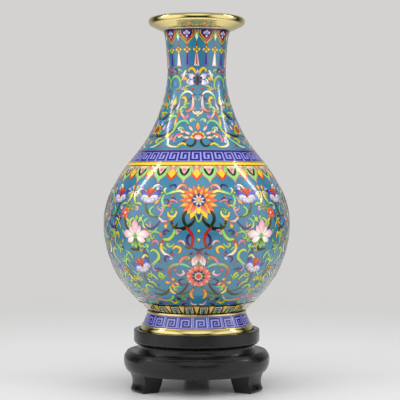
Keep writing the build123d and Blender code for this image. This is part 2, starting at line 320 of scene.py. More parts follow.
class Pen:
    """Draws cells of enamel and their cloison wires on a wall.

    Places are (degrees from the unit's centreline, height). A paired shape is drawn on both halves
    of the unit, and any other shape only once.
    """

    def __init__(self, wall: Wall, lift: float) -> None:
        """Start with nothing drawn, a given height over the ground."""
        self.wall = wall
        self.cells = {True: Sheaf(), False: Sheaf()}
        self.wires = {True: Sheaf(), False: Sheaf()}
        self.lift = lift

    # -------- moving between the drawing and the wall

    def flat(self, points: list[Point], r: float) -> np.ndarray:
        """Degrees and heights as a flat drawing in millimetres, at one radius."""
        p = np.array(points, float)
        return np.stack([np.radians(p[:, 0]) * r, self.wall.along(p[:, 1])], -1)

    def onto(self, flat: np.ndarray, r: float, lift: np.ndarray | float) -> tuple[np.ndarray, np.ndarray]:
        """A flat drawing back on the wall."""
        return self.wall.place(flat[:, 0] / r, self.wall.height(flat[:, 1]), lift)

    def near(self, at: Point, local: np.ndarray) -> np.ndarray:
        """Millimetres right and up of a place, as radians and heights."""
        z = self.wall.height(self.wall.along(at[1]) + local[:, 1])
        return np.stack([math.radians(at[0]) + local[:, 0] / self.wall.radius(z), z], -1)

    # -------- the two kinds of shape

    def strip(self, flat: np.ndarray, r: float, half: np.ndarray, ink: np.ndarray, paired: bool) -> None:
        """A band of enamel along a flat line, with wire round it.

        Args:
            flat: points along the line.
            r: the radius it was flattened at.
            half: half its width at each point.
            ink: its colour at each point.
            paired: whether it has a mirrored twin.
        """
        self.lift += STRIP_LIFT_STEP
        points, normal = self.onto(flat, r, self.lift)
        ahead = np.gradient(points, axis=0)
        side = np.cross(ahead, normal)
        side /= np.maximum(np.linalg.norm(side, axis=1), 1e-9)[:, None]
        left, right = (
            self.wall.place(np.arctan2(edge[:, 0], -edge[:, 1]), edge[:, 2], self.lift)[0]
            for edge in (points - side * half[:, None], points + side * half[:, None])
        )
        grid = np.stack([left, points, right], 1).reshape(-1, 3)
        edge = ink * STRIP_EDGE_SHADE
        shade = np.stack([edge, ink, edge], 1).reshape(-1, 4)
        self.cells[paired].add(grid, rings_of_quads(len(points), 3, False), shade)
        self.wire(np.concatenate([left, right[::-1]]), np.concatenate([normal, normal[::-1]]), paired)

    def blob(
        self, outline: np.ndarray, inks: tuple[np.ndarray, np.ndarray], paired: bool, wired: bool = True
    ) -> None:
        """A closed cell of enamel, shaded from its middle to its edge.

        Args:
            outline: radians and heights round it, the opposite way to a clock's hands.
            inks: colour rows for the middle and the edge; each is one row or one for each point.
            paired: whether it has a mirrored twin.
            wired: whether a wire goes round it.
        """
        self.lift += LIFT_STEP
        middle = outline.mean(0)
        rows = [middle + (outline - middle) * share for share in CELL_RINGS]
        flat = np.concatenate(rows)
        points, normal = self.wall.place(flat[:, 0], flat[:, 1], self.lift)
        count = len(outline)
        core, edge = (np.broadcast_to(ink, (count, 4)) for ink in inks)
        shade = np.concatenate([core * (1 - share) + edge * share for share in CELL_RING_SHADES])
        centre, _ = self.wall.place(middle[:1], middle[1:], self.lift)
        faces = rings_of_quads(len(CELL_RINGS), count, True)
        last = 2 * count + np.arange(count)
        hub = np.stack([last, 2 * count + (np.arange(count) + 1) % count, np.full(count, 3 * count)], -1)
        hub = np.concatenate([hub, hub[:, 2:]], 1)
        points = np.concatenate([points, centre])
        shade = np.concatenate([shade, core.mean(0, keepdims=True)])
        self.cells[paired].add(points, np.concatenate([faces, hub]), shade)
        if wired:
            self.wire(points[:count], normal[:count], paired)

    def wire(self, loop: np.ndarray, normal: np.ndarray, paired: bool) -> None:
        """A gilt wire along a closed loop, ridged along its middle."""
        ahead = np.roll(loop, -1, 0) - np.roll(loop, 1, 0)
        side = np.cross(ahead, normal)
        size = np.linalg.norm(side, axis=1)
        side /= np.maximum(size, 1e-9)[:, None]
        half = side * WIRE_W / 2
        crest = loop + normal * WIRE_RISE
        low = normal * WIRE_RISE / 2
        grid = np.stack([loop + low - half, crest, loop + low + half], 0).transpose(1, 0, 2).reshape(-1, 3)
        count = len(loop)
        here = np.arange(count) * 3
        there = np.roll(here, -1)
        faces = np.concatenate(
            [np.stack([here + k, here + k + 1, there + k + 1, there + k], -1) for k in (0, 1)]
        )
        self.wires[paired].add(grid, faces, np.ones((len(grid), 4)))

    def layer(self, level: float, *parts: Callable[["Pen"], None]) -> None:
        """Draw parts that keep clear of one another, each from the same height over the ground.

        Args:
            level: that height.
            parts: what draws each.
        """
        for part in parts:
            self.lift = level
            part(self)

    # -------- shapes of the trade

    def vine(
        self,
        glaze: Glaze,
        points: list[Point],
        width: float = 2.0,
        tip: Glaze | None = None,
        curl: Point | None = None,
        ends: Point = (0.55, 0.35),
        paired: bool = True,
    ) -> None:
        """A scroll: a rounded line through a few places, swelling in the middle.

        Args:
            glaze: its colour, at the start.
            points: places it passes through.
            width: its greatest width.
            tip: its colour at the far end, if it changes.
            curl: radius and turn in degrees of a spiral on its far end; a positive turn goes right.
            ends: its width at either end, as a share of the greatest.
            paired: False if it is drawn once, with no mirrored twin.
        """
        r = float(np.mean(self.wall.radius(np.array(points)[:, 1])))
        line = smooth_line(self.flat(points, r), LINE_SPACING)
        if curl:
            line = np.concatenate([line, self.spiral(line, *curl)])
        reach = np.concatenate([[0], np.cumsum(np.linalg.norm(np.diff(line, axis=0), axis=1))])
        t = reach / reach[-1]
        swell = np.where(t < 0.5, ends[0] + (1 - ends[0]) * np.sin(np.pi * t), 1.0)
        swell = np.where(t >= 0.5, ends[1] + (1 - ends[1]) * np.sin(np.pi * t), swell)
        half = self.breadth(width) / 2 * swell
        for gap in (reach, reach[-1] - reach):
            near = np.clip(gap / np.maximum(half, 1e-6), 0, 1)
            half = half * np.sqrt(np.clip(1 - (1 - near) ** 2, 0.02, 1))
        first, last = glaze.ink, (tip or glaze).ink
        fade = np.clip((t - 0.3) / 0.5, 0, 1)[:, None]
        self.strip(line, r, half, first * (1 - fade) + last * fade, paired)

    @staticmethod
    def breadth(width: float) -> float:
        """Drawn width of a scroll: fine ones gain a little and broad ones lose a little."""
        return VINE_GAIN * width**VINE_EVENNESS

    @staticmethod
    def spiral(line: np.ndarray, radius: float, turn: float) -> np.ndarray:
        """Points of a tightening spiral that carries a line on."""
        heading = math.atan2(*(line[-1] - line[-2])[::-1])
        steps = max(4, int(abs(turn) / SPIRAL_STEP))
        bend = -math.radians(turn) / steps
        here, points = line[-1].copy(), []
        for step in range(steps):
            heading += bend / 2
            reach = radius * (1 - 0.55 * step / steps) * abs(bend)
            here = here + reach * np.array([math.cos(heading), math.sin(heading)])
            heading += bend / 2
            points.append(here)
        return np.array(points)

    def tendril(
        self,
        glaze: Glaze,
        tip: Glaze,
        at: Point,
        aim: float,
        size: float,
        width: float = TENDRIL_WIDTH,
        leaf: Glaze | None = None,
    ) -> None:
        """A scroll that leaves a place and curls in on itself.

        Args:
            glaze: its colour at the root.
            tip: its colour where it curls in.
            at: the place it starts from.
            aim: its first direction, in degrees clockwise from straight up.
            size: about how far across its curl is; a negative size curls to the left.
            width: its greatest width.
            leaf: colour of a leaf on its outer side, if it has one.
        """
        level = self.lift
        steps = TENDRIL_STEPS
        t = np.arange(steps) / steps
        hand = 1.0 if size > 0 else -1.0
        heading = np.radians(90 - aim) - hand * math.radians(TENDRIL_TURN) * (0.25 * t + 0.75 * t**2)
        reach = abs(size) * 3.2 / steps * (1.25 - 0.75 * t)
        r = float(self.wall.radius(at[1]))
        root = self.flat([at], r)[0]
        steps_out = np.stack([np.cos(heading), np.sin(heading)], -1) * reach[:, None]
        line = root + np.concatenate([[(0.0, 0.0)], np.cumsum(steps_out, axis=0)])
        t = np.linspace(0, 1, steps + 1)
        half = self.breadth(width) / 2 * (0.35 + 0.65 * np.sin(np.pi * np.clip(t * 1.15, 0, 1)) ** 0.8)
        half[-1] *= 0.35
        half[0] *= 0.45
        fade = np.clip((t - 0.25) / 0.55, 0, 1)[:, None]
        if leaf is not None:
            spot = line[LEAF_STEP]
            place = (math.degrees(spot[0] / r), float(self.wall.height(spot[1])))
            outward = math.degrees(math.pi / 2 - heading[LEAF_STEP]) - hand * LEAF_SPLAY
            self.petal(leaf, leaf, place, outward, abs(size) * 0.85, abs(size) * 0.36, start=0.4, sharp=0.45)
        self.strip(line, r, half, glaze.ink * (1 - fade) + tip.ink * fade, True)
        end = line[-1]
        self.dot(tip, (math.degrees(end[0] / r), float(self.wall.height(end[1]))), 0.62 * width)
        self.lift = level

    def petal(
        self,
        base: Glaze,
        tip: Glaze,
        at: Point,
        aim: float,
        length: float,
        width: float,
        start: float = 0.0,
        sharp: float = 0.75,
        bend: float = 0.0,
        paired: bool = True,
    ) -> None:
        """A petal or leaf that grows from a place.

        Args:
            base: its colour at the root.
            tip: its colour at the point.
            at: the place it grows from.
            aim: its direction, in degrees clockwise from straight up.
            length: its length.
            width: its greatest width.
            start: how far from the place its root is.
            sharp: where it is widest, as a share of its length; under 0.5 gives a fat root.
            bend: sideways sweep of its point, as a share of its length.
            paired: False if it is drawn once, with no mirrored twin.
        """
        t = np.linspace(0, 1, max(5, int(length / 2.2) + 3))
        power = math.log(0.5) / math.log(min(max(sharp, 0.2), 0.85))
        taper = 0.75 + 0.55 * np.clip((t - 0.45) / 0.4, 0, 1)
        half = PETAL_SWELL * width / 2 * np.sin(np.pi * t**power) ** taper
        axis = start + length * t
        sweep = bend * length * t**2
        right = np.stack([sweep + half, axis], -1)
        left = np.stack([sweep - half, axis], -1)[-2:0:-1]
        local = np.concatenate([right, left])
        fade = np.clip((local[:, 1] - start) / length, 0, 1)[:, None]
        turn = math.radians(aim)
        x = local[:, 0] * math.cos(turn) + local[:, 1] * math.sin(turn)
        y = -local[:, 0] * math.sin(turn) + local[:, 1] * math.cos(turn)
        edge = base.ink * (1 - fade) + tip.ink * fade
        core = edge * 0.35 + base.ink * 0.65
        self.blob(self.near(at, np.stack([x, y], -1)), (core, edge), paired)

    def dot(
        self, glaze: Glaze, at: Point, radius: float, paired: bool = True, rim: Glaze | None = None
    ) -> None:
        """A round cell."""
        turn = np.linspace(0, 2 * np.pi, 10 if radius < 2 else 16, endpoint=False)
        local = radius * np.stack([np.cos(turn), np.sin(turn)], -1)
        self.blob(self.near(at, local), (glaze.ink, (rim or glaze).ink), paired, wired=radius > 0.9)

    def cell(
        self,
        glaze: Glaze,
        corners: list[Point],
        rim: Glaze | None = None,
        rounded: bool = False,
        paired: bool = True,
        wired: bool = True,
    ) -> None:
        """A cell with corners at given places.

        Args:
            glaze: its colour in the middle.
            corners: places round it, the opposite way to a clock's hands.
            rim: its colour at the edge, if it changes.
            rounded: whether the corners are rounded off.
            paired: False if it is drawn once, with no mirrored twin.
            wired: whether a wire goes round it.
        """
        r = float(np.mean(self.wall.radius(np.array(corners)[:, 1])))
        flat = self.flat(corners, r)
        if rounded:
            edge = smooth_line(flat, CELL_SPACING, closed=True)
        else:
            runs = []
            for a, b in zip(flat, np.roll(flat, -1, 0)):
                pieces = max(1, int(round(np.linalg.norm(b - a) / CELL_SPACING)))
                runs.append(a + (b - a) * (np.arange(pieces) / pieces)[:, None])
            edge = np.concatenate(runs)
        outline = np.stack([edge[:, 0] / r, self.wall.height(edge[:, 1])], -1)
        self.blob(outline, (glaze.ink, (rim or glaze).ink), paired, wired)

    def bar(self, glaze: Glaze, path: list[Point], width: float, paired: bool = True) -> None:
        """Square-cut strokes through corners, as in a key fret: each run goes level or upright."""
        wall = self.wall
        for (a0, z0), (a1, z1) in zip(path[:-1], path[1:]):
            self.lift += BAR_LIFT_STEP
            middle = (z0 + z1) / 2
            grow_a = math.degrees(width / 2 / float(wall.radius(middle)))
            low_a, high_a = min(a0, a1) - grow_a, max(a0, a1) + grow_a
            low_z, high_z = min(z0, z1) - width / 2, max(z0, z1) + width / 2
            columns = max(2, int(math.radians(high_a - low_a) * float(wall.radius(middle)) / 2.5) + 2)
            rows = max(2, int((high_z - low_z) / 3) + 2)
            z, a = np.meshgrid(np.linspace(low_z, high_z, rows), np.linspace(low_a, high_a, columns),
                               indexing="ij")
            points, _ = wall.place(np.radians(a).ravel(), z.ravel(), self.lift)
            ink = np.broadcast_to(glaze.ink, (len(points), 4)).copy()
            self.cells[paired].add(points, rings_of_quads(rows, columns, False), ink)

    # -------- finished drawings

    def repeated(self, angles: list[float]) -> tuple[Sheaf, Sheaf]:
        """The drawing's cells and wires, mirrored, and laid out at each angle."""
        result = []
        for store in (self.cells, self.wires):
            whole = Sheaf()
            for angle in angles:
                whole.join(store[False].turned(angle))
                whole.join(store[True].turned(angle))
                whole.join(store[True].turned(angle, mirror=True))
            result.append(whole)
        return result[0], result[1]


def mesh_object(
    name: str, points: np.ndarray, faces: np.ndarray, inks: np.ndarray | None = None
) -> bpy.types.Object:
    """A smooth-shaded mesh object.

    Args:
        name: the piece's name.
        points: vertices, in millimetres.
        faces: rows of four corners; a repeated last corner makes a triangle.
        inks: a colour for each vertex, if it has them.

    Returns:
        The object, linked into the scene.
    """
    mesh = bpy.data.meshes.new(name)
    rows = [row[:3] if row[2] == row[3] or row[3] == row[0] else row for row in faces.tolist()]
    mesh.from_pydata((points * MM).tolist(), [], rows)
    mesh.validate()
    mesh.update()
    mesh.polygons.foreach_set("use_smooth", np.ones(len(mesh.polygons), bool))
    mesh.set_sharp_from_angle(angle=SMOOTH_LIMIT)
    if inks is not None:
        layer = mesh.color_attributes.new("glaze", "FLOAT_COLOR", "POINT")
        layer.data.foreach_set("color", inks[:, :4].astype(np.float32).ravel())
    piece = bpy.data.objects.new(name, mesh)
    bpy.context.scene.collection.objects.link(piece)
    return piece


def lathe(name: str, outline: np.ndarray, closed: bool = False) -> bpy.types.Object:
    """A turned mesh.

    Args:
        name: the piece's name.
        outline: radius and height of its section, going up the outside.
        closed: whether the section comes back to its start.

    Returns:
        The object.
    """
    segments = TURNED_FLATS
    turn = np.linspace(0, 2 * np.pi, segments, endpoint=False)
    rows = [np.stack([r * np.sin(turn), -r * np.cos(turn), np.full(segments, z)], -1) for r, z in outline]
    faces = rings_of_quads(len(rows), segments, True)
    if closed:
        base = (len(rows) - 1) * segments
        column = np.arange(segments)
        after = (column + 1) % segments
        faces = np.concatenate([faces, np.stack([base + column, base + after, after, column], -1)])
    return mesh_object(name, np.concatenate(rows), faces)


# ---------------------------------------------------------------- finishes


class Nodes:
    """Short ways to build a shader tree."""

    def __init__(self, tree: bpy.types.NodeTree) -> None:
        """Work on a tree."""
        self.tree = tree

    def add(self, kind: str, **values: object) -> bpy.types.Node:
        """A node, with its settings and unlinked inputs set by name."""
        node = self.tree.nodes.new(kind)
        for key, value in values.items():
            if hasattr(node, key):
                setattr(node, key, value)
            else:
                node.inputs[key.replace("_", " ")].default_value = value
        return node

    def link(self, source: bpy.types.NodeSocket, target: bpy.types.NodeSocket) -> None:
        """Join two sockets."""
        self.tree.links.new(source, target)


def effect_group(name: str, sockets: dict[str, tuple[str, str, float]]) -> tuple[bpy.types.NodeTree, Nodes]:
    """A shader node group with named sockets.

    Args:
        name: the group's name.
        sockets: socket name to direction, type and default.

    Returns:
        The group and a builder for it.
    """
    group = bpy.data.node_groups.new(name, "ShaderNodeTree")
    for label, (way, kind, default) in sockets.items():
        socket = group.interface.new_socket(name=label, in_out=way, socket_type=kind)
        if way == "INPUT" and kind == "NodeSocketFloat":
            socket.default_value = default
    return group, Nodes(group)


def mottle_group() -> bpy.types.NodeTree:
    """Ground-glass mottling: cloudy lightness and fine specks over a colour."""
    group, n = effect_group(
        "glass_mottle",
        {
            "Colour": ("INPUT", "NodeSocketColor", 0),
            "Cloud": ("INPUT", "NodeSocketFloat", 0.12),
            "Speck": ("INPUT", "NodeSocketFloat", 0.1),
            "Cloud Scale": ("INPUT", "NodeSocketFloat", 60),
            "Speck Scale": ("INPUT", "NodeSocketFloat", 900),
            "Result": ("OUTPUT", "NodeSocketColor", 0),
            "Mask": ("OUTPUT", "NodeSocketFloat", 0),
        },
    )
    start, end = n.add("NodeGroupInput"), n.add("NodeGroupOutput")
    place = n.add("ShaderNodeTexCoord")
    cloud = n.add("ShaderNodeTexNoise", Detail=3.0, Roughness=0.6)
    speck = n.add("ShaderNodeTexNoise", Detail=2.0, Roughness=0.7)
    for noise, scale in ((cloud, "Cloud Scale"), (speck, "Speck Scale")):
        n.link(place.outputs["Object"], noise.inputs["Vector"])
        n.link(start.outputs[scale], noise.inputs["Scale"])
    total = None
    for noise, amount in ((cloud, "Cloud"), (speck, "Speck")):
        centre = n.add("ShaderNodeMath", operation="SUBTRACT")
        centre.inputs[1].default_value = 0.5
        n.link(noise.outputs["Fac"], centre.inputs[0])
        scaled = n.add("ShaderNodeMath", operation="MULTIPLY")
        n.link(centre.outputs[0], scaled.inputs[0])
        n.link(start.outputs[amount], scaled.inputs[1])
        if total is None:
            total = scaled
        else:
            both = n.add("ShaderNodeMath", operation="ADD")
            n.link(total.outputs[0], both.inputs[0])
            n.link(scaled.outputs[0], both.inputs[1])
            total = both
    gain = n.add("ShaderNodeMath", operation="MULTIPLY_ADD")
    gain.inputs[1].default_value = 2.0
    gain.inputs[2].default_value = 1.0
    n.link(total.outputs[0], gain.inputs[0])
    tint = n.add("ShaderNodeHueSaturation")
    n.link(gain.outputs[0], tint.inputs["Value"])
    n.link(start.outputs["Colour"], tint.inputs["Color"])
    n.link(tint.outputs["Color"], end.inputs["Result"])
    n.link(gain.outputs[0], end.inputs["Mask"])
    return group


def pitting_group() -> bpy.types.NodeTree:
    """Heights of a polished but not perfect surface: a slow ripple and small pits."""
    group, n = effect_group(
        "polish_ripple",
        {
            "Ripple Scale": ("INPUT", "NodeSocketFloat", 90),
            "Pit Scale": ("INPUT", "NodeSocketFloat", 700),
            "Pits": ("INPUT", "NodeSocketFloat", 0.3),
            "Height": ("OUTPUT", "NodeSocketFloat", 0),
            "Dull": ("OUTPUT", "NodeSocketFloat", 0),
        },
    )
    start, end = n.add("NodeGroupInput"), n.add("NodeGroupOutput")
    place = n.add("ShaderNodeTexCoord")
    ripple = n.add("ShaderNodeTexNoise", Detail=2.0, Roughness=0.5)
    pits = n.add("ShaderNodeTexVoronoi")
    for texture, scale in ((ripple, "Ripple Scale"), (pits, "Pit Scale")):
        n.link(place.outputs["Object"], texture.inputs["Vector"])
        n.link(start.outputs[scale], texture.inputs["Scale"])
    deep = n.add("ShaderNodeMapRange", interpolation_type="SMOOTHSTEP", From_Min=0.05, From_Max=0.22)
    n.link(pits.outputs["Distance"], deep.inputs["Value"])
    scaled = n.add("ShaderNodeMath", operation="MULTIPLY")
    n.link(deep.outputs[0], scaled.inputs[0])
    n.link(start.outputs["Pits"], scaled.inputs[1])
    total = n.add("ShaderNodeMath", operation="ADD")
    n.link(ripple.outputs["Fac"], total.inputs[0])
    n.link(scaled.outputs[0], total.inputs[1])
    n.link(total.outputs[0], end.inputs["Height"])
    n.link(ripple.outputs["Fac"], end.inputs["Dull"])
    return group


def grain_group() -> bpy.types.NodeTree:
    """Wood grain: long fibres and rings, as a mask."""
    group, n = effect_group(
        "wood_grain",
        {
            "Fibre Scale": ("INPUT", "NodeSocketFloat", 40),
            "Ring Scale": ("INPUT", "NodeSocketFloat", 14),
            "Grain": ("OUTPUT", "NodeSocketFloat", 0),
        },
    )
    start, end = n.add("NodeGroupInput"), n.add("NodeGroupOutput")
    place = n.add("ShaderNodeTexCoord")
    stretch = n.add("ShaderNodeMapping", Scale=(1.0, 14.0, 14.0))
    n.link(place.outputs["Object"], stretch.inputs["Vector"])
    fibre = n.add("ShaderNodeTexNoise", Detail=5.0, Roughness=0.65)
    rings = n.add("ShaderNodeTexWave", wave_type="BANDS", bands_direction="Y", Distortion=6.0, Detail=2.0)
    n.link(stretch.outputs[0], fibre.inputs["Vector"])
    n.link(place.outputs["Object"], rings.inputs["Vector"])
    n.link(start.outputs["Fibre Scale"], fibre.inputs["Scale"])
    n.link(start.outputs["Ring Scale"], rings.inputs["Scale"])
    mix = n.add("ShaderNodeMath", operation="MULTIPLY_ADD")
    mix.inputs[1].default_value = 0.35
    n.link(rings.outputs["Fac"], mix.inputs[0])
    n.link(fibre.outputs["Fac"], mix.inputs[2])
    n.link(mix.outputs[0], end.inputs["Grain"])
    return group


class Effects:
    """The shared node groups, built once."""

    mottle: bpy.types.NodeTree
    ripple: bpy.types.NodeTree
    grain: bpy.types.NodeTree

    @classmethod
    def build(cls) -> None:
        """Make every group."""
        cls.mottle = mottle_group()
        cls.ripple = pitting_group()
        cls.grain = grain_group()


@dataclass(frozen=True)
class Finish:
    """A surface finish.

    The base colour is a colour attribute when reads_glaze is set, and colour otherwise.
    """

    name: str
    colour: tuple[float, float, float] = (128, 128, 128)
    reads_glaze: bool = False
    metallic: float = 0.0
    specular: float = 0.5
    roughness: float = 0.2
    rough_spread: float = 0.0
    coat: float = 0.0
    coat_roughness: float = 0.03
    cloud: float = 0.1
    speck: float = 0.1
    cloud_scale: float = 60.0
    speck_scale: float = 900.0
    bump: float = 0.1
    bump_depth: float = 0.0002
    ripple_scale: float = 90.0
    pit_scale: float = 700.0
    pits: float = 0.3
    grain: float = 0.0
    sheen: float = 0.0

    def material(self) -> bpy.types.Material:
        """Build the finish's material.

        Returns:
            A node material with the finish's colour, gloss and relief.
        """
        material = bpy.data.materials.new(self.name)
        material.use_nodes = True
        n = Nodes(material.node_tree)
        shader = next(node for node in n.tree.nodes if node.type == "BSDF_PRINCIPLED")
        shader.inputs["Metallic"].default_value = self.metallic
        shader.inputs["Roughness"].default_value = self.roughness
        shader.inputs["Specular IOR Level"].default_value = self.specular
        shader.inputs["Coat Weight"].default_value = self.coat
        shader.inputs["Coat Roughness"].default_value = self.coat_roughness
        shader.inputs["Sheen Weight"].default_value = self.sheen
        mottle = n.add("ShaderNodeGroup", node_tree=Effects.mottle, Cloud=self.cloud, Speck=self.speck,
                       Cloud_Scale=self.cloud_scale, Speck_Scale=self.speck_scale, Colour=linear(self.colour))
        if self.reads_glaze:
            glaze = n.add("ShaderNodeAttribute", attribute_name="glaze")
            n.link(glaze.outputs["Color"], mottle.inputs["Colour"])
        ripple = n.add("ShaderNodeGroup", node_tree=Effects.ripple, Ripple_Scale=self.ripple_scale,
                       Pit_Scale=self.pit_scale, Pits=self.pits)
        height, colour = ripple.outputs["Height"], mottle.outputs["Result"]
        if self.grain:
            grain = n.add("ShaderNodeGroup", node_tree=Effects.grain)
            shade = n.add("ShaderNodeMix", data_type="RGBA", blend_type="MULTIPLY")
            shade.inputs[0].default_value = self.grain
            n.link(colour, shade.inputs[6])
            n.link(grain.outputs["Grain"], shade.inputs[7])
            colour, height = shade.outputs[2], grain.outputs["Grain"]
        n.link(colour, shader.inputs["Base Color"])
        if self.rough_spread:
            low, high = self.roughness - self.rough_spread, self.roughness + self.rough_spread
            spread = n.add("ShaderNodeMapRange", From_Min=0.3, From_Max=0.7, To_Min=max(0.02, low),
                           To_Max=high)
            n.link(ripple.outputs["Dull"], spread.inputs["Value"])
            n.link(spread.outputs[0], shader.inputs["Roughness"])
        relief = n.add("ShaderNodeBump", Strength=self.bump, Distance=self.bump_depth)
        n.link(height, relief.inputs["Height"])
        n.link(relief.outputs["Normal"], shader.inputs["Normal"])
        return material


def enamel(name: str, glaze: Glaze | None) -> Finish:
    """Polished enamel in one colour, or in the colours painted on the mesh."""
    return Finish(
        name=name,
        colour=(glaze or G.WHITE).value,
        reads_glaze=glaze is None,
        roughness=0.22,
        coat=1.0,
        coat_roughness=0.07,
        cloud=0.10,
        speck=0.10,
        bump=0.12,
        bump_depth=0.00012,
    )


GILT = Finish("gilt", (246, 226, 152), metallic=1.0, roughness=0.08, rough_spread=0.03, cloud=0.05,
              speck=0.03, bump=0.08, bump_depth=0.0001, pits=0.1, ripple_scale=60)
WIRE_GILT = Finish("cloison_gilt", (150, 116, 56), metallic=1.0, roughness=0.34, cloud=0.12, speck=0.1,
                   bump=0.05)
COPPER = Finish("raw_copper", (190, 104, 66), metallic=1.0, roughness=0.38, rough_spread=0.1, cloud=0.2,
                cloud_scale=30, bump=0.3, bump_depth=0.0004, ripple_scale=50)
LACQUER = Finish("black_lacquer", (8, 8, 9), roughness=0.27, rough_spread=0.07, coat=0.15, specular=0.36,
                 cloud=0.2, cloud_scale=25, speck=0.12, grain=0.35, bump=0.16, bump_depth=0.00025)
BARE_WOOD = Finish("bare_wood", (176, 130, 84), roughness=0.6, cloud=0.2, grain=0.6, bump=0.4,
                   bump_depth=0.0004)
STEEL = Finish("zinc_steel", (176, 178, 182), metallic=1.0, roughness=0.35, rough_spread=0.08, cloud=0.1)
FELT = Finish("wool_felt", (24, 24, 27), roughness=0.95, sheen=0.4, cloud=0.3, speck=0.5, speck_scale=1400,
              bump=0.9, bump_depth=0.0005, ripple_scale=600, pit_scale=1500, pits=1.0)


def dress(piece: bpy.types.Object, material: bpy.types.Material) -> None:
    """Give a piece one material."""
    piece.data.materials.clear()
    piece.data.materials.append(material)


# ---------------------------------------------------------------- the vase's enamel grounds

VASE = "vase"


@dataclass(frozen=True)
class Coat:
    """One band of enamel ground: the CAD node it stands for, its colour and a slot name, which nothing reads.

    Its lower edge comes down past the node's by the drop, in millimetres.
    """

    node: str
    glaze: Glaze
    slot: str
    drop: float = 0.0

    def build(self, wall: Wall) -> bpy.types.Object:
        """Turn the coat between its node's heights, as a closed ring.

        Args:
            wall: the wall whose outside it follows.

        Returns:
            The coat, riding on the vase.
        """
        low, high = (corner.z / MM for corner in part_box(self.node))
        low -= self.drop
        rows = max(2, int((high - low) / 1.6) + 1)
        z = np.linspace(low, high, rows)
        outside = np.stack([wall.radius(z), z], -1)
        inner_r = wall.radius(z) - COAT_DEPTH
        inside = np.stack([inner_r, z], -1)[::-1]
        coat = lathe(f"{self.node}_coat", np.concatenate([outside, inside]), closed=True)
        dress(coat, enamel(f"{self.node}_glaze", self.glaze).material())
        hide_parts(self.node)
        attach(coat, VASE)
        return coat


COATS = (
    Coat("enamel_mouth_border", G.TURQUOISE, "enamel_turquoise"),
    Coat("enamel_tassel_band", G.TURQUOISE, "enamel_turquoise"),
    Coat("enamel_neck_field", G.TURQUOISE, "enamel_turquoise"),
    Coat("enamel_shoulder_fret", G.PERIWINKLE, "enamel_lavender"),
    Coat("enamel_shoulder_strip", G.YELLOW, "enamel_yellow"),
    Coat("enamel_ruyi_border", G.TURQUOISE, "enamel_turquoise", drop=0.8),
    Coat("enamel_belly_field", G.TURQUOISE, "enamel_turquoise"),
    Coat("enamel_foot_lappets", G.BLACK, "enamel_green"),
)


# ---------------------------------------------------------------- the vase's drawings


@dataclass
class Drawing:
    """A drawing that repeats round the vase: its name, places and the arcs it is split into."""

    name: str
    angles: list[float]
    pieces: int = 1
    turn: float = 0.0
    wires_replace: str = ""
    lift: float = GROUND_LAYER

    def draw(self, pen: Pen) -> None:
        """Draw one unit; each kind of band has its own."""
        raise NotImplementedError

    def build(self, wall: Wall, cell_paint: bpy.types.Material, wire_paint: bpy.types.Material) -> int:
        """Lay the unit out round the wall and make its pieces.

        Args:
            wall: the wall it lies on.
            cell_paint: material of the enamel cells.
            wire_paint: material of the cloison wires.

        Returns:
            How many faces it has.
        """
        pen = Pen(wall, self.lift)
        self.draw(pen)
        total = 0
        share = len(self.angles) // self.pieces
        for index in range(self.pieces):
            part = [a + self.turn for a in self.angles[index * share:(index + 1) * share]]
            suffix = f"_{index + 1}" if self.pieces > 1 else ""
            for kind, sheaf, paint, slot in zip(
                ("cells", "wires"), pen.repeated(part), (cell_paint, wire_paint), ("enamel_turquoise", "gilt")
            ):
                if not sheaf.count:
                    continue
                points, faces, inks = sheaf.arrays()
                piece = mesh_object(f"{self.name}_{kind}{suffix}", points, faces,
                                    inks if kind == "cells" else None)
                dress(piece, paint)
                if kind == "wires" and self.wires_replace:
                    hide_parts(self.wires_replace)
                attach(piece, VASE)
                total += len(faces)
        return total


def even(count: int, first: float = 0.0) -> list[float]:
    """Angles of a ring of equal units."""
    return [first + 360 / count * k for k in range(count)]


class MouthBorder(Drawing):
    """Ten pendant lappets under the rim, white lozenges between them."""

    def draw(self, pen: Pen) -> None:
        """One lappet, on its centreline, and half the gap beside it."""
        pen.cell(G.LEMON, [(0, 411.6), (6.5, 416.2), (12.6, 420.4), (16.4, 424.6), (16.4, 430.2),
                           (-16.4, 430.2), (-16.4, 424.6), (-12.6, 420.4), (-6.5, 416.2)],
                 paired=False, rim=G.PALE_GREEN)
        pen.cell(G.RED, [(0, 413.4), (6.6, 417.8), (12.4, 421.6), (14.8, 425.6), (14.6, 429.8),
                         (-14.6, 429.8), (-14.8, 425.6), (-12.4, 421.6), (-6.6, 417.8)],
                 paired=False, rim=G.RED)
        pen.cell(G.NAVY, [(0, 417.6), (5.6, 421.0), (10.2, 424.4), (10.6, 430.0), (-10.6, 430.0),
                          (-10.2, 424.4), (-5.6, 421.0)], paired=False)
        for aim in (0, 180):
            pen.petal(G.PALE_LAVENDER, G.WHITE, (0, 424.4), aim, 4.6, 3.2, paired=False, sharp=0.6)
        pen.petal(G.PALE_LAVENDER, G.WHITE, (0, 424.4), 70, 4.8, 3.2, sharp=0.6)
        pen.cell(G.WHITE, [(18, 415.6), (21.6, 421.4), (18, 427.0), (14.4, 421.4)], rim=G.MINT)
        pen.cell(G.NAVY, [(0, 428.8), (18, 428.8), (18, 430.4), (0, 430.4)], wired=False)


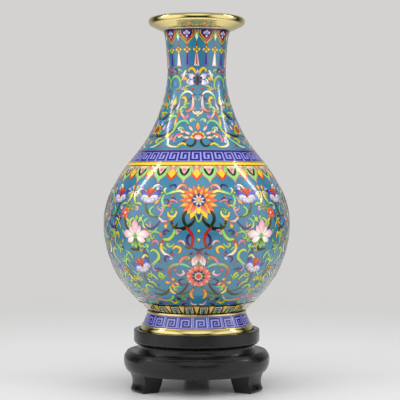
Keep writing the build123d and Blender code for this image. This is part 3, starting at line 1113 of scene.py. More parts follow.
class TasselBand(Drawing):
    """Tassels on beads and trefoils: a pink one, two blue ones and a pale one make a unit."""

    def tassel(self, pen: Pen, at: float, core: Glaze, side: Glaze, paired: bool) -> None:
        """One tassel.

        Args:
            pen: the pen.
            at: its angle.
            core: colour down its middle.
            side: colour of its sides.
            paired: False if it has no mirrored twin.
        """
        pen.dot(G.RED, (at, 411.6), 1.3, paired)
        for aim in (-100, 100, 180):
            pen.petal(G.YELLOW, G.YELLOW, (at, 406.6), aim, 4.6, 3.6, paired=paired)
        pen.petal(G.YELLOW, G.LEMON, (at, 406.2), 0, 3.6, 2.6, paired=paired)
        pen.cell(side, [(at - 5.2, 386.6), (at + 5.2, 386.6), (at + 3.2, 396), (at + 1.5, 402.2),
                        (at - 1.5, 402.2), (at - 3.2, 396)],
                 paired=paired, rim=G.BLUSH if core is G.ROSE else side)
        pen.cell(core, [(at - 2.2, 387.2), (at + 2.2, 387.2), (at + 0.9, 401.4), (at - 0.9, 401.4)],
                 paired=paired, wired=False)

    def draw(self, pen: Pen) -> None:
        """A pink tassel, a blue one either side, and a pale one on the boundary to the next unit."""
        self.tassel(pen, 0, G.ROSE, G.BLUSH, False)
        self.tassel(pen, 18, G.NAVY, G.LAVENDER, True)
        self.tassel(pen, 36, G.WHITE, G.BLUSH, False)


class NeckField(Drawing):
    """Iris, salmon hooks and a half lotus among scrolls, three times round the neck."""

    def iris(self, pen: Pen) -> None:
        """The blue-petalled flower near the top."""
        heart = (0, 369.5)
        pen.vine(G.YELLOW, [(3, 375.5), (5.2, 380.5), (10.5, 384), (15.5, 382.5)], 2.8, curl=(1.8, 150))
        for aim, length in ((56, 12.5), (112, 12.0)):
            pen.petal(G.WHITE, G.PALE_LAVENDER, heart, aim, length, 6.0, start=1.5, sharp=0.55)
        pen.petal(G.NAVY, G.WHITE, heart, 0, 10.5, 5.2, start=2.5, sharp=0.45, paired=False)
        pen.cell(G.LAVENDER, [(0, 364.0), (7, 366), (7.6, 371.5), (0, 376.5), (-7.6, 371.5), (-7, 366)],
                 rounded=True, paired=False)
        pen.dot(G.NAVY, (6.6, 372.2), 1.5)
        pen.dot(G.NAVY, (5.8, 367.4), 1.4)
        pen.cell(G.DARK_GREEN, [(0, 362.8), (3.4, 366), (3.6, 371.5), (0, 375.6), (-3.6, 371.5), (-3.4, 366)],
                 rounded=True, paired=False)

    def upper_scrolls(self, pen: Pen) -> None:
        """Scrolls either side of the iris and down to the hooks."""
        pen.vine(G.WHITE, [(22, 382), (26, 378), (28, 373), (33, 368.5)], 2.2, tip=G.LEMON)
        pen.petal(G.ORANGE, G.YELLOW, (30, 369), -60, 7, 4.2)
        pen.vine(G.PALE_GREEN, [(36, 358), (33, 364), (37, 371.5), (46, 375), (56, 372), (59, 365),
                                (53, 358)], 1.8)
        pen.cell(G.SKY, [(46, 360.5), (53, 363), (54, 369), (46, 372.4), (40, 368.5), (40, 363)],
                 rounded=True, rim=G.TURQUOISE)
        pen.vine(G.NAVY, [(52, 381), (47, 384), (42, 380), (44, 376)], 2.0)
        pen.petal(G.DARK_RED, G.SALMON, (33, 357), 60, 6, 3)
        pen.petal(G.BROWN, G.CORAL, (7.6, 355.5), 8, 6, 3.2)
        pen.dot(G.NAVY, (4.2, 352.2), 1.2)
        pen.vine(G.WHITE, [(8, 352), (14, 355.6), (22, 355.6), (29, 351.5), (31.5, 345)], 2.2, tip=G.MINT)
        pen.vine(G.BLUSH, [(9, 351), (7.4, 344), (8.4, 336.5), (13.5, 332.6)], 2.6, tip=G.SALMON,
                 curl=(2.6, -150))
        pen.vine(G.SLATE, [(9, 350), (13, 346), (16, 347)], 1.2)
        pen.vine(G.YELLOW, [(28, 348), (22.5, 349), (19.5, 345.2)], 2.6, curl=(2.2, -170))
        pen.vine(G.PALE_LAVENDER, [(30.5, 346), (31, 340), (34, 334)], 2.0, tip=G.WHITE)
        pen.petal(G.LEMON, G.YELLOW, (39, 353), 176, 14, 5)
        pen.petal(G.WHITE, G.NAVY, (44, 350), 160, 12, 4)
        pen.vine(G.DARK_GREEN, [(34, 341), (39, 336), (45, 330), (52, 325), (58, 323)], 2.4)
        pen.vine(G.MINT, [(58, 350), (53, 345), (55, 338)], 1.8, curl=(2.2, 170))
        pen.petal(G.ORANGE, G.CORAL, (56, 357), 160, 10, 4)
        pen.petal(G.YELLOW, G.ORANGE, (60, 347), 190, 9, 4)

    def lower_scrolls(self, pen: Pen) -> None:
        """Vines round the half lotus."""
        pen.vine(G.SALMON, [(14.5, 320), (20, 325.5), (26.5, 331.6)], 2.4, tip=G.BLUSH)
        pen.vine(G.CORAL, [(26.5, 331.6), (30.5, 325), (31, 317), (29.5, 312)], 2.4, tip=G.PALE_YELLOW)
        pen.petal(G.ROSE, G.PALE_LAVENDER, (11, 332), 150, 11, 4.4)
        pen.vine(G.MINT, [(11.5, 316.5), (15.5, 320.6), (22, 320.8), (27.5, 317.5), (31.5, 309.5),
                          (37, 301.5), (40, 297)], 2.6, tip=G.LEMON)
        pen.vine(G.PALE_GREEN, [(30, 325.5), (36, 327), (42, 323.5), (47, 317)], 2.2, tip=G.DARK_GREEN)
        pen.vine(G.DARK_GREEN, [(31.5, 311.5), (38, 306.5), (46, 303.5), (54, 303)], 2.4, curl=(2.4, -140))
        pen.petal(G.YELLOW, G.LEMON, (32, 307.5), 128, 11, 4.2)
        pen.vine(G.PINK, [(21, 306), (25.5, 303), (27, 298)], 2.2, curl=(2.0, 190))
        pen.dot(G.SALMON, (21.5, 305), 2.0)
        pen.dot(G.NAVY, (26, 310.5), 1.1)
        pen.vine(G.DARK_GREEN, [(3, 300), (3.4, 294.5), (7, 290.6), (11, 292)], 2.2, curl=(1.6, -120))
        pen.vine(G.YELLOW, [(11.5, 291.5), (16, 294), (20.5, 291.6), (19.5, 288.8)], 2.4, tip=G.LEMON)
        pen.vine(G.CREAM, [(20, 290), (27, 290.2), (32, 292.5), (34, 297)], 2.2, curl=(1.8, -150))
        pen.vine(G.PALE_GREEN, [(38, 299), (43, 296), (49, 291), (56, 289.6)], 2.2, tip=G.CREAM)
        pen.petal(G.DARK_RED, G.CORAL, (45, 291), -80, 6, 3)
        pen.petal(G.BLUSH, G.PINK, (46, 318), 165, 9, 4)
        pen.vine(G.PALE_LAVENDER, [(36, 320), (41, 314), (42, 308)], 1.8)

    def half_lotus(self, pen: Pen) -> None:
        """The low flower with its fan of spindles."""
        heart = (0, 300.5)
        pen.dot(G.YELLOW, (0, 327.4), 1.7, paired=False)
        for aim, start in ((33, 11.5), (62, 10.5), (88, 10)):
            pen.petal(G.BLUSH, G.SALMON, heart, aim, 9.0, 3.2, start=start, sharp=0.45)
        pen.petal(G.SALMON, G.YELLOW, heart, 0, 11, 3.8, start=10.5, sharp=0.4, paired=False)
        for aim in (80, 48, 20):
            pen.petal(G.YELLOW, G.LEMON, heart, aim, 9.5, 4.4)
        for aim in (66, 34):
            pen.petal(G.CORAL, G.RED, heart, aim, 7.6, 3.8)
        pen.petal(G.CORAL, G.RED, heart, 0, 8.0, 4.4, paired=False)
        pen.cell(G.BLUSH, [(0, 297.8), (4.4, 300), (3.6, 302.8), (0, 304.4), (-3.6, 302.8), (-4.4, 300)],
                 rounded=True, paired=False, rim=G.PINK)

    def side_rose(self, pen: Pen) -> None:
        """The round yellow flower between units, drawn once on each boundary."""
        heart = (60, 311)
        for aim in range(0, 360, 45):
            pen.petal(G.YELLOW, G.ORANGE, heart, aim, 6.4, 4.6, start=1.2, sharp=0.5)
        for aim in range(22, 360, 60):
            pen.petal(G.BLACK, G.DARK_RED, heart, aim, 3.6, 1.8, start=1)
        pen.dot(G.CORAL, heart, 1.8)

    def tendrils(self, pen: Pen) -> None:
        """Small curling scrolls that fill the ground between the rest."""
        pen.tendril(G.BLUSH, G.CREAM, (19.4, 376.4), 60, 4.4, 1.6)
        pen.tendril(G.MINT, G.LEMON, (31, 379.6), 40, 4.6, 1.6)
        pen.tendril(G.PALE_GREEN, G.YELLOW, (12.6, 362.6), 80, 5.4, 1.8, leaf=G.CORAL)
        pen.tendril(G.LAVENDER, G.WHITE, (26, 366), 130, 4.4, 1.6)
        pen.tendril(G.PINK, G.RED, (56, 377.6), 10, 5, 1.6)
        pen.tendril(G.YELLOW, G.LEMON, (9, 378.4), 160, -3.6, 1.4)
        pen.tendril(G.MINT, G.LEMON, (12.4, 341.6), 80, 5, 1.8)
        pen.tendril(G.CREAM, G.MINT, (20.6, 338.6), 110, 5, 1.8, leaf=G.MINT)
        pen.tendril(G.BLUSH, G.PINK, (41.6, 343.6), 110, 4.6, 1.6)
        pen.tendril(G.LEMON, G.YELLOW, (50.6, 330.6), 60, 5, 1.8)
        pen.tendril(G.PALE_GREEN, G.CREAM, (1.8, 344.8), 20, 3.4, 1.3)
        pen.tendril(G.PINK, G.SALMON, (3, 337), 150, -3.6, 1.4)
        pen.tendril(G.MINT, G.WHITE, (16.8, 310.4), 40, 5, 1.7)
        pen.tendril(G.SALMON, G.PINK, (28.6, 304.4), 120, 4, 1.6)
        pen.tendril(G.YELLOW, G.LEMON, (44, 300), 80, 5.4, 1.8, leaf=G.MINT)
        pen.tendril(G.PALE_LAVENDER, G.WHITE, (48.6, 322), 90, 4.6, 1.6)
        pen.tendril(G.SALMON, G.BLUSH, (54, 296.4), 60, 4.4, 1.6)
        pen.tendril(G.MINT, G.PALE_YELLOW, (38.6, 333.4), 190, -4.6, 1.7)
        pen.tendril(G.CREAM, G.WHITE, (7.6, 334), 190, 4.2, 1.5)
        pen.tendril(G.LEMON, G.MINT, (52.6, 311.6), 200, -4, 1.5)
        pen.tendril(G.NAVY, G.SLATE, (12, 297.6), 100, 4, 1.4)
        pen.tendril(G.PALE_LAVENDER, G.WHITE, (44.6, 385.4), 90, 3.6, 1.3)
        pen.tendril(G.MINT, G.CREAM, (2.4, 320.6), 40, 4.4, 1.5)
        pen.tendril(G.PALE_LAVENDER, G.WHITE, (4.4, 352.4), 190, -4, 1.4)
        pen.tendril(G.CREAM, G.BLUSH, (20.4, 312.6), 160, 4, 1.5)
        pen.tendril(G.PALE_GREEN, G.MINT, (23.6, 333.6), 60, 4.4, 1.6)
        pen.tendril(G.WHITE, G.PALE_LAVENDER, (14.6, 371.4), 120, 4, 1.5)
        pen.tendril(G.PALE_YELLOW, G.WHITE, (16.6, 301.6), 40, 3.8, 1.4)

    def draw(self, pen: Pen) -> None:
        """The whole unit."""
        pen.layer(GROUND_LAYER, self.tendrils)
        pen.layer(SCROLL_LAYER, self.upper_scrolls, self.lower_scrolls)
        pen.layer(NECK_FLOWER_LAYER, self.side_rose, self.iris, self.half_lotus)


class ShoulderFret(Drawing):
    """Navy key fret on the lavender shoulder band."""

    def draw(self, pen: Pen) -> None:
        """One square spiral with its link to the next."""
        low, high, step = 274.9, 284.9, 10.0
        pen.bar(G.NAVY, [(-step / 2, low), (1.9, low), (1.9, high - 2.9), (-1.6, high - 2.9),
                         (-1.6, low + 3.2)], 2.2, paired=False)
        pen.bar(G.NAVY, [(-step / 2, low), (-step / 2, high), (step / 2 - 0.4, high)], 2.2, paired=False)


class RuyiBorder(Drawing):
    """Pink-edged lappets and yellow diamonds hanging from the yellow strip."""

    def draw(self, pen: Pen) -> None:
        """One diamond on the centreline and the halves of the lappets beside it."""
        pen.cell(G.ROSE, [(9, 247.6), (10.8, 252.4), (14.2, 257), (17.6, 261.2), (18, 268), (0, 268),
                          (0.4, 261.2), (3.8, 257), (7.2, 252.4)], rim=G.PINK)
        pen.cell(G.MINT, [(9, 249.8), (10.6, 253.2), (13.6, 257.4), (16.0, 261.8), (14.6, 267.8),
                          (3.4, 267.8), (2.0, 261.8), (4.4, 257.4), (7.4, 253.2)], rim=G.PALE_GREEN)
        pen.cell(G.PINK, [(9, 255.4), (11.8, 259.6), (13.0, 263.6), (12.2, 267.8), (5.8, 267.8), (5.0, 263.6),
                          (6.2, 259.6)], rim=G.CREAM)
        for side in (-1, 1):
            pen.vine(G.DARK_GREEN, [(9, 256.4), (9 + side * 2.2, 260.4), (9 + side * 3.4, 265)], 1.7,
                     ends=(0.9, 0.8))
        for aim in (-70, 0, 70, 180):
            pen.petal(G.PINK, G.WHITE, (9, 263.2), aim, 3.6, 2.6)
        pen.dot(G.SALMON, (9, 263.2), 0.85)
        pen.cell(G.RED, [(0, 250.6), (3.0, 255.6), (4.3, 260.4), (0, 259.0), (-4.3, 260.4), (-3.0, 255.6)],
                 paired=False, rim=G.CORAL)
        pen.cell(G.YELLOW, [(0, 253.4), (3.2, 259.4), (0, 265.0), (-3.2, 259.4)], paired=False, rim=G.YELLOW)
        pen.cell(G.PALE_YELLOW, [(0, 264.8), (1.5, 268.2), (-1.5, 268.2)], paired=False)
        pen.cell(G.LEMON, [(4.6, 265.6), (5.7, 268.2), (3.5, 268.2)])


class FootLappets(Drawing):
    """Yellow wedges over dark ground, with small square spirals between."""

    def draw(self, pen: Pen) -> None:
        """One wedge on the centreline and half the gap beside it."""
        pen.cell(G.OLIVE, [(0, 94.5), (1.7, 98), (3.5, 104.4), (-3.5, 104.4), (-1.7, 98)], paired=False)
        pen.cell(G.YELLOW, [(0, 94.9), (1.2, 98), (2.7, 104.3), (-2.7, 104.3), (-1.2, 98)], paired=False,
                 rim=G.YELLOW)
        pen.bar(G.CREAM, [(4.1, 95.6), (4.1, 102.8), (7.5, 102.8)], 0.8)
        pen.bar(G.MINT, [(5.7, 95.6), (5.7, 100.6), (7.5, 100.6)], 0.8)
        pen.dot(G.CORAL, (7.5, 97.8), 0.8)


class FootFret(Drawing):
    """Navy square spirals on the lavender foot band."""

    def draw(self, pen: Pen) -> None:
        """One spiral and the upright beside it."""
        low, high = 80.2, 89.2
        pen.bar(G.NAVY, [(-6.0, low), (-6.0, high), (5.4, high), (5.4, low), (-2.4, low), (-2.4, high - 3.4),
                         (2.2, high - 3.4), (2.2, low + 2.8), (0.2, low + 2.8)], 1.95, paired=False)
        pen.bar(G.NAVY, [(8.18, low - 1.4), (8.18, high + 1.2)], 0.7, paired=False)
        for edge in (low - 2.1, high + 1.5):
            pen.bar(G.NAVY, [(-8.1, edge), (8.2, edge)], 0.6, paired=False)


class BellyField(Drawing):
    """Lotus, ribbons, bowl flowers and scrolls: one quarter of the belly."""

    def lotus(self, pen: Pen) -> None:
        """The great lotus on the centreline: three rings of petals round a dotted heart."""
        heart = (0, 228.6)
        outer = ((0, 15.4), (18, 15.6), (36, 16.0), (54, 17.4), (72, 18.6), (90, 19.0), (108, 19.4),
                 (126, 19.0), (162, 17.6))
        for index, (aim, length) in enumerate(outer):
            base, tip = (G.CORAL, G.SALMON) if index % 2 else (G.ORANGE, G.YELLOW)
            pen.petal(base, tip, heart, aim, length, 4.7, start=4.0, sharp=0.5, paired=aim > 0)
        for aim in (9, 27, 45, 63, 81, 99, 117):
            pen.petal(G.RED, G.ORANGE if aim % 2 else G.SALMON, heart, aim, 11.4, 3.4, start=4.4, sharp=0.5)
        for aim in (18, 54, 90, 126):
            pen.petal(G.ORANGE, G.PALE_YELLOW, heart, aim, 8.4, 2.8, start=5.6, sharp=0.5)
        pen.petal(G.ORANGE, G.YELLOW, heart, 140, 17.4, 5.6, start=4.0, sharp=0.5)
        pen.petal(G.YELLOW, G.YELLOW, heart, 156, 20.6, 6.4, start=4.0, sharp=0.5)
        pen.petal(G.CORAL, G.PINK, heart, 149, 12.4, 3.8, start=5.0, sharp=0.5)
        pen.petal(G.YELLOW, G.LEMON, heart, 180, 13.4, 5.0, start=5.0, sharp=0.5, paired=False)
        pen.dot(G.BLUSH, heart, 7.4, paired=False, rim=G.PALE_LAVENDER)
        for aim in (0, 45, 90, 135, 180):
            pen.petal(G.NAVY, G.NAVY, heart, aim, 5.2, 3.6, start=3.4, sharp=0.6, paired=aim not in (0, 180))
        for aim in (22, 67, 112, 157):
            pen.petal(G.WHITE, G.LAVENDER, heart, aim, 4.6, 2.0, start=2.4, sharp=0.6)
        pen.dot(G.YELLOW, heart, 2.4, paired=False, rim=G.ORANGE)
        pen.cell(G.NAVY, [(0, 205.4), (2.0, 210.6), (0, 213.6), (-2.0, 210.6)], paired=False)
        pen.vine(G.PALE_GREEN, [(-2.3, 213.5), (0, 204.6), (2.3, 213.5)], 1.5, paired=False, ends=(0.7, 0.7))
        pen.petal(G.MINT, G.PALE_GREEN, (0, 244.6), 0, 2.2, 3.0, paired=False)

    def stems(self, pen: Pen) -> None:
        """Dark stems, red ribbons and navy rings below the lotus."""
        pen.vine(G.DARK_GREEN, [(6.6, 217), (8.8, 211.5), (8.6, 204.5), (6.6, 198.8)], 3.0, ends=(0.7, 0.7))
        pen.vine(G.DARK_GREEN, [(1.6, 212), (3.2, 204.5), (6.2, 199.4), (10, 196.4), (13.6, 197.6),
                                (15.6, 202.4)],
                 3.6, curl=(3.2, -150), ends=(0.6, 0.5))
        pen.vine(G.NAVY, [(3.5, 187.6), (5.1, 190), (6.7, 186.2), (6.5, 180.4), (4.6, 175.8), (2.4, 173.9)],
                 2.3)
        pen.vine(G.RED, [(7.4, 198.2), (5.2, 194), (3.8, 189), (3.4, 183), (4.4, 177), (6.2, 174.6),
                         (8.2, 177.2)], 3.0, tip=G.DARK_RED)
        pen.vine(G.BLUSH, [(8.0, 178), (9.2, 182.4), (11.2, 182.8)], 1.7, tip=G.PINK, curl=(2.0, 130))
        pen.vine(G.NAVY, [(-3.0, 174.6), (0, 172.4), (3.0, 174.6)], 1.8, paired=False, ends=(0.8, 0.8))
        pen.dot(G.YELLOW, (0, 194.4), 1.7, paired=False)
        pen.dot(G.YELLOW, (0, 184.4), 1.7, paired=False)

    def upper_scrolls(self, pen: Pen) -> None:
        """Scrolls beside the lotus."""
        pen.vine(G.SALMON, [(7.6, 241.5), (9.0, 245.4), (12.2, 245), (14.8, 239)], 2.6, tip=G.BLUSH)
        pen.vine(G.NAVY, [(14.2, 242), (15.6, 246), (18.2, 245.2)], 1.5, tip=G.SLATE, curl=(1.8, 150))
        pen.vine(G.PALE_YELLOW, [(8.6, 237), (12.5, 239.4), (17.4, 237.2), (21.2, 235)], 2.8, tip=G.MINT,
                 ends=(0.8, 0.5))
        pen.vine(G.LEMON, [(20.8, 236), (22.2, 240.4), (20.6, 243)], 1.6, tip=G.WHITE)
        pen.vine(G.MINT, [(21.6, 235.6), (22.8, 229), (21.4, 221.6), (22.2, 214), (24.2, 209.4)], 2.6,
                 tip=G.PINK)
        pen.petal(G.YELLOW, G.ORANGE, (22.6, 234.6), 138, 15, 5.0)
        pen.petal(G.LEMON, G.YELLOW, (21.6, 236), 66, 7.5, 3.0)
        pen.vine(G.OLIVE, [(24.2, 209.4), (28.4, 211), (32.0, 216), (33.6, 224), (33.4, 230)], 2.2)
        pen.vine(G.PALE_GREEN, [(27.4, 222), (30.0, 218.4), (29.4, 213.4), (26, 210.6)], 1.7)
        pen.vine(G.BLUSH, [(24, 210), (21.6, 205.4), (17.6, 205)], 2.4, tip=G.PINK)
        pen.petal(G.ORANGE, G.YELLOW, (18.6, 205.2), -62, 8.5, 4.0)
        pen.petal(G.ORANGE, G.YELLOW, (18, 204.4), 152, 8, 4.2)
        pen.vine(G.SLATE, [(22.6, 206), (25.2, 199.6), (28.8, 196.2), (31.6, 197.8)], 2.1, curl=(1.6, -150))
        pen.vine(G.YELLOW, [(18.4, 216), (17.4, 211), (14.6, 210.4), (13.2, 214)], 2.7, tip=G.PALE_YELLOW,
                 curl=(1.8, 150))
        pen.vine(G.LEMON, [(21.4, 221.4), (18.8, 223.2), (17.2, 220.6)], 1.8, tip=G.SALMON)
        pen.vine(G.SLATE, [(19.4, 223), (18.2, 227.4), (20, 229.4)], 1.3, curl=(1.2, 160))
        pen.vine(G.SLATE, [(13.6, 228.6), (15.4, 231.2), (17.2, 230.2)], 1.2)
        pen.petal(G.RED, G.ORANGE, (15.2, 236.4), 150, 5, 2.2)
        pen.dot(G.RED, (10.6, 241.6), 1.1)

    def bowl_flower(self, pen: Pen, at: Point, tilt: float, size: float = 1.0) -> None:
        """A blue and white flower with a red comb.

        Args:
            pen: the pen.
            at: its heart.
            tilt: how far it leans to the right, in degrees.
            size: its scale.
        """
        for aim in (-50, 50):
            pen.petal(G.BLUSH, G.YELLOW, at, aim + tilt, 8.6 * size, 2.6 * size, sharp=0.66)
        for aim in (-58, -29, 29, 58, 0):
            pen.petal(G.RED, G.RED if aim else G.ORANGE, at, aim + tilt, (8.4 - abs(aim) / 40) * size,
                      3.2 * size, start=0.6, sharp=0.6)
        for aim in (-78, 78):
            pen.petal(G.LAVENDER, G.NAVY, at, aim + tilt, 13.0 * size, 5.4 * size, sharp=0.6,
                      bend=0.2 if aim < 0 else -0.2)
        for aim in (-106, 106):
            pen.petal(G.WHITE, G.LAVENDER, at, aim + tilt, 11.0 * size, 5.6 * size, sharp=0.64)
        for aim in (-138, 138):
            pen.petal(G.WHITE, G.NAVY, at, aim + tilt, 9.4 * size, 5.6 * size, sharp=0.64)
        pen.petal(G.WHITE, G.LAVENDER, at, 180 + tilt, 8.0 * size, 5.6 * size, sharp=0.62)
        pen.petal(G.WHITE, G.PALE_LAVENDER, at, 180 + tilt, 4.4 * size, 9.0 * size, start=-1.0, sharp=0.5)
        pen.dot(G.RED, at, 1.7 * size, rim=G.DARK_RED)

    def side_flower(self, pen: Pen) -> None:
        """The bowl flower and the curls over it."""
        pen.vine(G.CREAM, [(31, 240.4), (29.6, 244.4), (27.4, 246)], 2.0, tip=G.WHITE, curl=(1.5, -120))
        self.bowl_flower(pen, (31.8, 233.4), 0, 1.25)
        pen.petal(G.YELLOW, G.ORANGE, (43.8, 238), -12, 9, 4.0)
        pen.vine(G.PALE_YELLOW, [(44.2, 239), (43.6, 232), (41.6, 225), (42.2, 219)], 2.6, tip=G.LEAF)
        pen.vine(G.PALE_GREEN, [(36, 222.6), (39, 225), (42, 223.6)], 2.0)

    def middle_scrolls(self, pen: Pen) -> None:
        """Leaves and hooks beside the ribbons."""
        pen.vine(G.PALE_GREEN, [(13.8, 196.6), (15, 189.6), (17.8, 184.6), (21.4, 184.8)], 3.6, tip=G.LEMON,
                 ends=(0.5, 0.5))
        pen.petal(G.CORAL, G.ORANGE, (21.4, 185.2), 24, 8, 3.4)
        pen.petal(G.NAVY, G.SLATE, (20.6, 187.6), -30, 5.4, 2.2)
        pen.vine(G.YELLOW, [(21.8, 181), (22.7, 174.4), (20.9, 168.4), (17.8, 166.2)], 3.2, tip=G.WHITE,
                 ends=(0.7, 0.5))
        pen.dot(G.RED, (21.8, 181.8), 1.9)
        pen.petal(G.NAVY, G.NAVY, (17.4, 167), -28, 5, 2.6)
        pen.petal(G.RED, G.DARK_RED, (17.6, 166.4), -84, 4.6, 2.4)
        pen.vine(G.YELLOW, [(15.6, 173.4), (13.4, 176.6), (10.8, 174.6), (11.2, 170.6)], 2.8,
                 curl=(1.8, -130))
        pen.vine(G.PURPLE, [(17.6, 163.4), (19.4, 165.4), (21.2, 162), (20, 157.4)], 1.9, tip=G.NAVY)
        pen.vine(G.PINK, [(24, 178), (25.4, 182.8), (28.2, 180.6), (27.8, 176)], 2.1, tip=G.ROSE)
        pen.vine(G.LEMON, [(30.2, 170), (28, 172.4), (25.4, 169.6), (24.8, 163.6), (28, 158), (31.6, 154.4)],
                 3.0, tip=G.PALE_GREEN)
        pen.vine(G.LEMON, [(43, 199), (44.2, 204), (42.4, 207.6)], 1.8, curl=(1.8, -160))
        pen.vine(G.MINT, [(33.6, 203.4), (36, 207), (34.6, 211)], 1.6, curl=(1.4, -140))

    def fan(self, pen: Pen) -> None:
        """The hanging pink and white fan with its arcs."""
        heart = (0, 168.8)
        for aim, length in ((150, 17), (168, 12.5)):
            pen.petal(G.PINK, G.WHITE, heart, aim, length, 6.8 if aim == 150 else 4.8, sharp=0.62,
                      bend=0.10 if aim == 150 else 0.0)
        pen.petal(G.ROSE, G.PALE_YELLOW, heart, 180, 10, 4.6, sharp=0.6, paired=False)
        for aim in (70, 110):
            pen.petal(G.NAVY, G.ROSE, heart, aim, 4.6, 2.4)
        pen.petal(G.NAVY, G.PURPLE, heart, 0, 3.4, 3.2, paired=False)
        pen.petal(G.NAVY, G.PURPLE, (6.6, 166), -58, 7.4, 3.2)
        pen.vine(G.SALMON, [(6.4, 165.6), (9.6, 163), (11.6, 158.6), (12.4, 154.8)], 3.0, tip=G.PINK)
        pen.petal(G.BROWN, G.CORAL, (5.4, 163.6), 190, 5.4, 2.4)

    def small_lotus(self, pen: Pen) -> None:
        """The lower, red-hearted lotus."""
        heart = (0, 142.2)
        for k in range(6):
            aim = 36 * k
            pen.petal(G.CORAL, G.SALMON, heart, aim, 10.2, 5.4, start=4.6, sharp=0.58, paired=k not in (0, 5))
        for k in range(5):
            pen.petal(G.CORAL, G.BLUSH, heart, 18 + 36 * k, 9.0, 4.0, start=5.4, sharp=0.58)
        pen.dot(G.BLUSH, heart, 7.2, paired=False, rim=G.PALE_GREEN)
        for aim in (0, 36, 72, 108, 144, 180):
            turn = math.radians(aim)
            spot = (math.degrees(5.8 * math.sin(turn) / 98), 142.2 + 5.8 * math.cos(turn) * 0.98)
            pen.dot(G.NAVY, spot, 1.75, paired=aim not in (0, 180))
        pen.dot(G.RED, heart, 3.1, paired=False, rim=G.CORAL)

    def lower_scrolls(self, pen: Pen) -> None:
        """Scrolls and stems round the small lotus, down to the lower border."""
        pen.vine(G.MINT, [(5.2, 152.4), (9.6, 156), (15.4, 155.4), (19, 151), (19.2, 144.6), (18, 139.6)],
                 2.9, tip=G.RED)
        for aim, length in ((-112, 9), (98, 9), (178, 8), (-20, 6)):
            pen.petal(G.ORANGE, G.YELLOW, (18.2, 135), aim, length, 4.4)
        pen.vine(G.BLUSH, [(10.4, 149.6), (9.6, 145.6), (12.4, 143.2), (14.8, 146.4)], 2.2, tip=G.PINK)
        pen.dot(G.ROSE, (15, 149.4), 1.9)
        pen.vine(G.NAVY, [(8.8, 133), (12.2, 132), (13.6, 136.4), (11, 139)], 1.5, curl=(1.6, -170))
        pen.vine(G.DARK_GREEN, [(6.8, 135), (9.2, 128.4), (13.4, 122.2), (18.4, 119.6)], 2.0)
        pen.vine(G.OLIVE, [(1.8, 130.4), (5.8, 124.4), (11.2, 120.8), (17, 119.4)], 1.8)
        pen.vine(G.PALE_YELLOW, [(17.6, 120.4), (20.8, 124.6), (20.6, 130)], 2.8, tip=G.YELLOW)
        pen.vine(G.DARK_GREEN, [(21.4, 127), (25.4, 121.4), (31, 119), (37.4, 120.6)], 2.7)
        pen.vine(G.OLIVE, [(24.6, 123), (30.4, 125), (36.4, 130), (38.8, 138), (38.6, 147)], 2.0)
        pen.vine(G.ORANGE, [(3.2, 127.4), (5.6, 122.6), (5.2, 117.4), (3.4, 114.6)], 3.2, tip=G.YELLOW)
        pen.petal(G.DARK_RED, G.RED, (6, 114.8), 96, 5.6, 2.6)
        pen.vine(G.PINK, [(6.6, 112.4), (5.6, 108.4), (2.6, 107.6)], 1.7, tip=G.WHITE, curl=(1.3, 130))
        pen.petal(G.PURPLE, G.NAVY, (19.2, 119.4), -146, 11, 3.6)
        pen.vine(G.PALE_GREEN, [(19.6, 119), (22.6, 114.2), (28, 112), (34.6, 113.4), (40, 113)], 2.6,
                 tip=G.SALMON)
        pen.vine(G.YELLOW, [(25, 112.6), (21, 109), (18.6, 110.6)], 2.0, curl=(1.3, 120))
        pen.petal(G.RED, G.CORAL, (15.2, 110.6), -80, 6, 2.8)
        pen.petal(G.NAVY, G.SLATE, (32, 108), 90, 9, 2.4)
        pen.vine(G.LEMON, [(27.2, 146), (24.8, 144.4), (24.2, 139.4), (27.4, 137.2)], 2.8, tip=G.LEAF)
        pen.vine(G.LEMON, [(28.4, 137), (31.4, 142.6), (35.8, 145.4)], 1.8, tip=G.PALE_GREEN)
        pen.petal(G.RED, G.PINK, (29.6, 132.6), 80, 5.4, 2.6)
        pen.dot(G.NAVY, (29.6, 130.6), 1.1)
        pen.vine(G.PALE_GREEN, [(34, 127), (38.4, 130.6), (41.6, 128.6), (39.6, 124.4)], 2.0, tip=G.LEMON)
        pen.petal(G.ROSE, G.PURPLE, (23.4, 155), 40, 6, 2.6)
        pen.vine(G.SLATE, [(25.8, 152), (28, 150), (29.4, 152.6)], 1.4)

    def tendrils(self, pen: Pen) -> None:
        """Small curling scrolls that fill the ground between the rest."""
        pen.tendril(G.PINK, G.SALMON, (12.6, 225.4), 40, 6.5)
        pen.tendril(G.PALE_GREEN, G.LEMON, (22.4, 190.6), 60, 8.5, leaf=G.MINT)
        pen.tendril(G.MINT, G.PALE_GREEN, (24.4, 199.6), 160, -7)
        pen.tendril(G.MINT, G.PALE_YELLOW, (30.4, 208.4), 110, 7.5)
        pen.tendril(G.PINK, G.WHITE, (29.6, 205), 200, -5.5)
        pen.tendril(G.SLATE, G.PALE_LAVENDER, (36.6, 227), 40, -6.5)
        pen.tendril(G.MINT, G.YELLOW, (37.6, 231.4), 20, 6)
        pen.tendril(G.LAVENDER, G.WHITE, (36.8, 245.2), 95, 5)
        pen.tendril(G.LEAF, G.LEMON, (43.6, 226), 170, -7)
        pen.tendril(G.PALE_LAVENDER, G.WHITE, (46.2, 240), 200, 5.5)
        pen.tendril(G.PINK, G.BLUSH, (9.4, 194), 60, 5)
        pen.tendril(G.PALE_GREEN, G.MINT, (29.2, 183.6), 10, 7, leaf=G.CORAL)
        pen.tendril(G.MINT, G.YELLOW, (31.2, 167.6), 15, 8.5, leaf=G.RED)
        pen.tendril(G.PALE_LAVENDER, G.PINK, (26.4, 157.4), 110, 7)
        pen.tendril(G.LEMON, G.MINT, (31.2, 128.6), 20, 7.5, leaf=G.PALE_GREEN)
        pen.tendril(G.LEAF, G.MINT, (8.2, 120.6), 105, 6.5, leaf=G.LEAF)
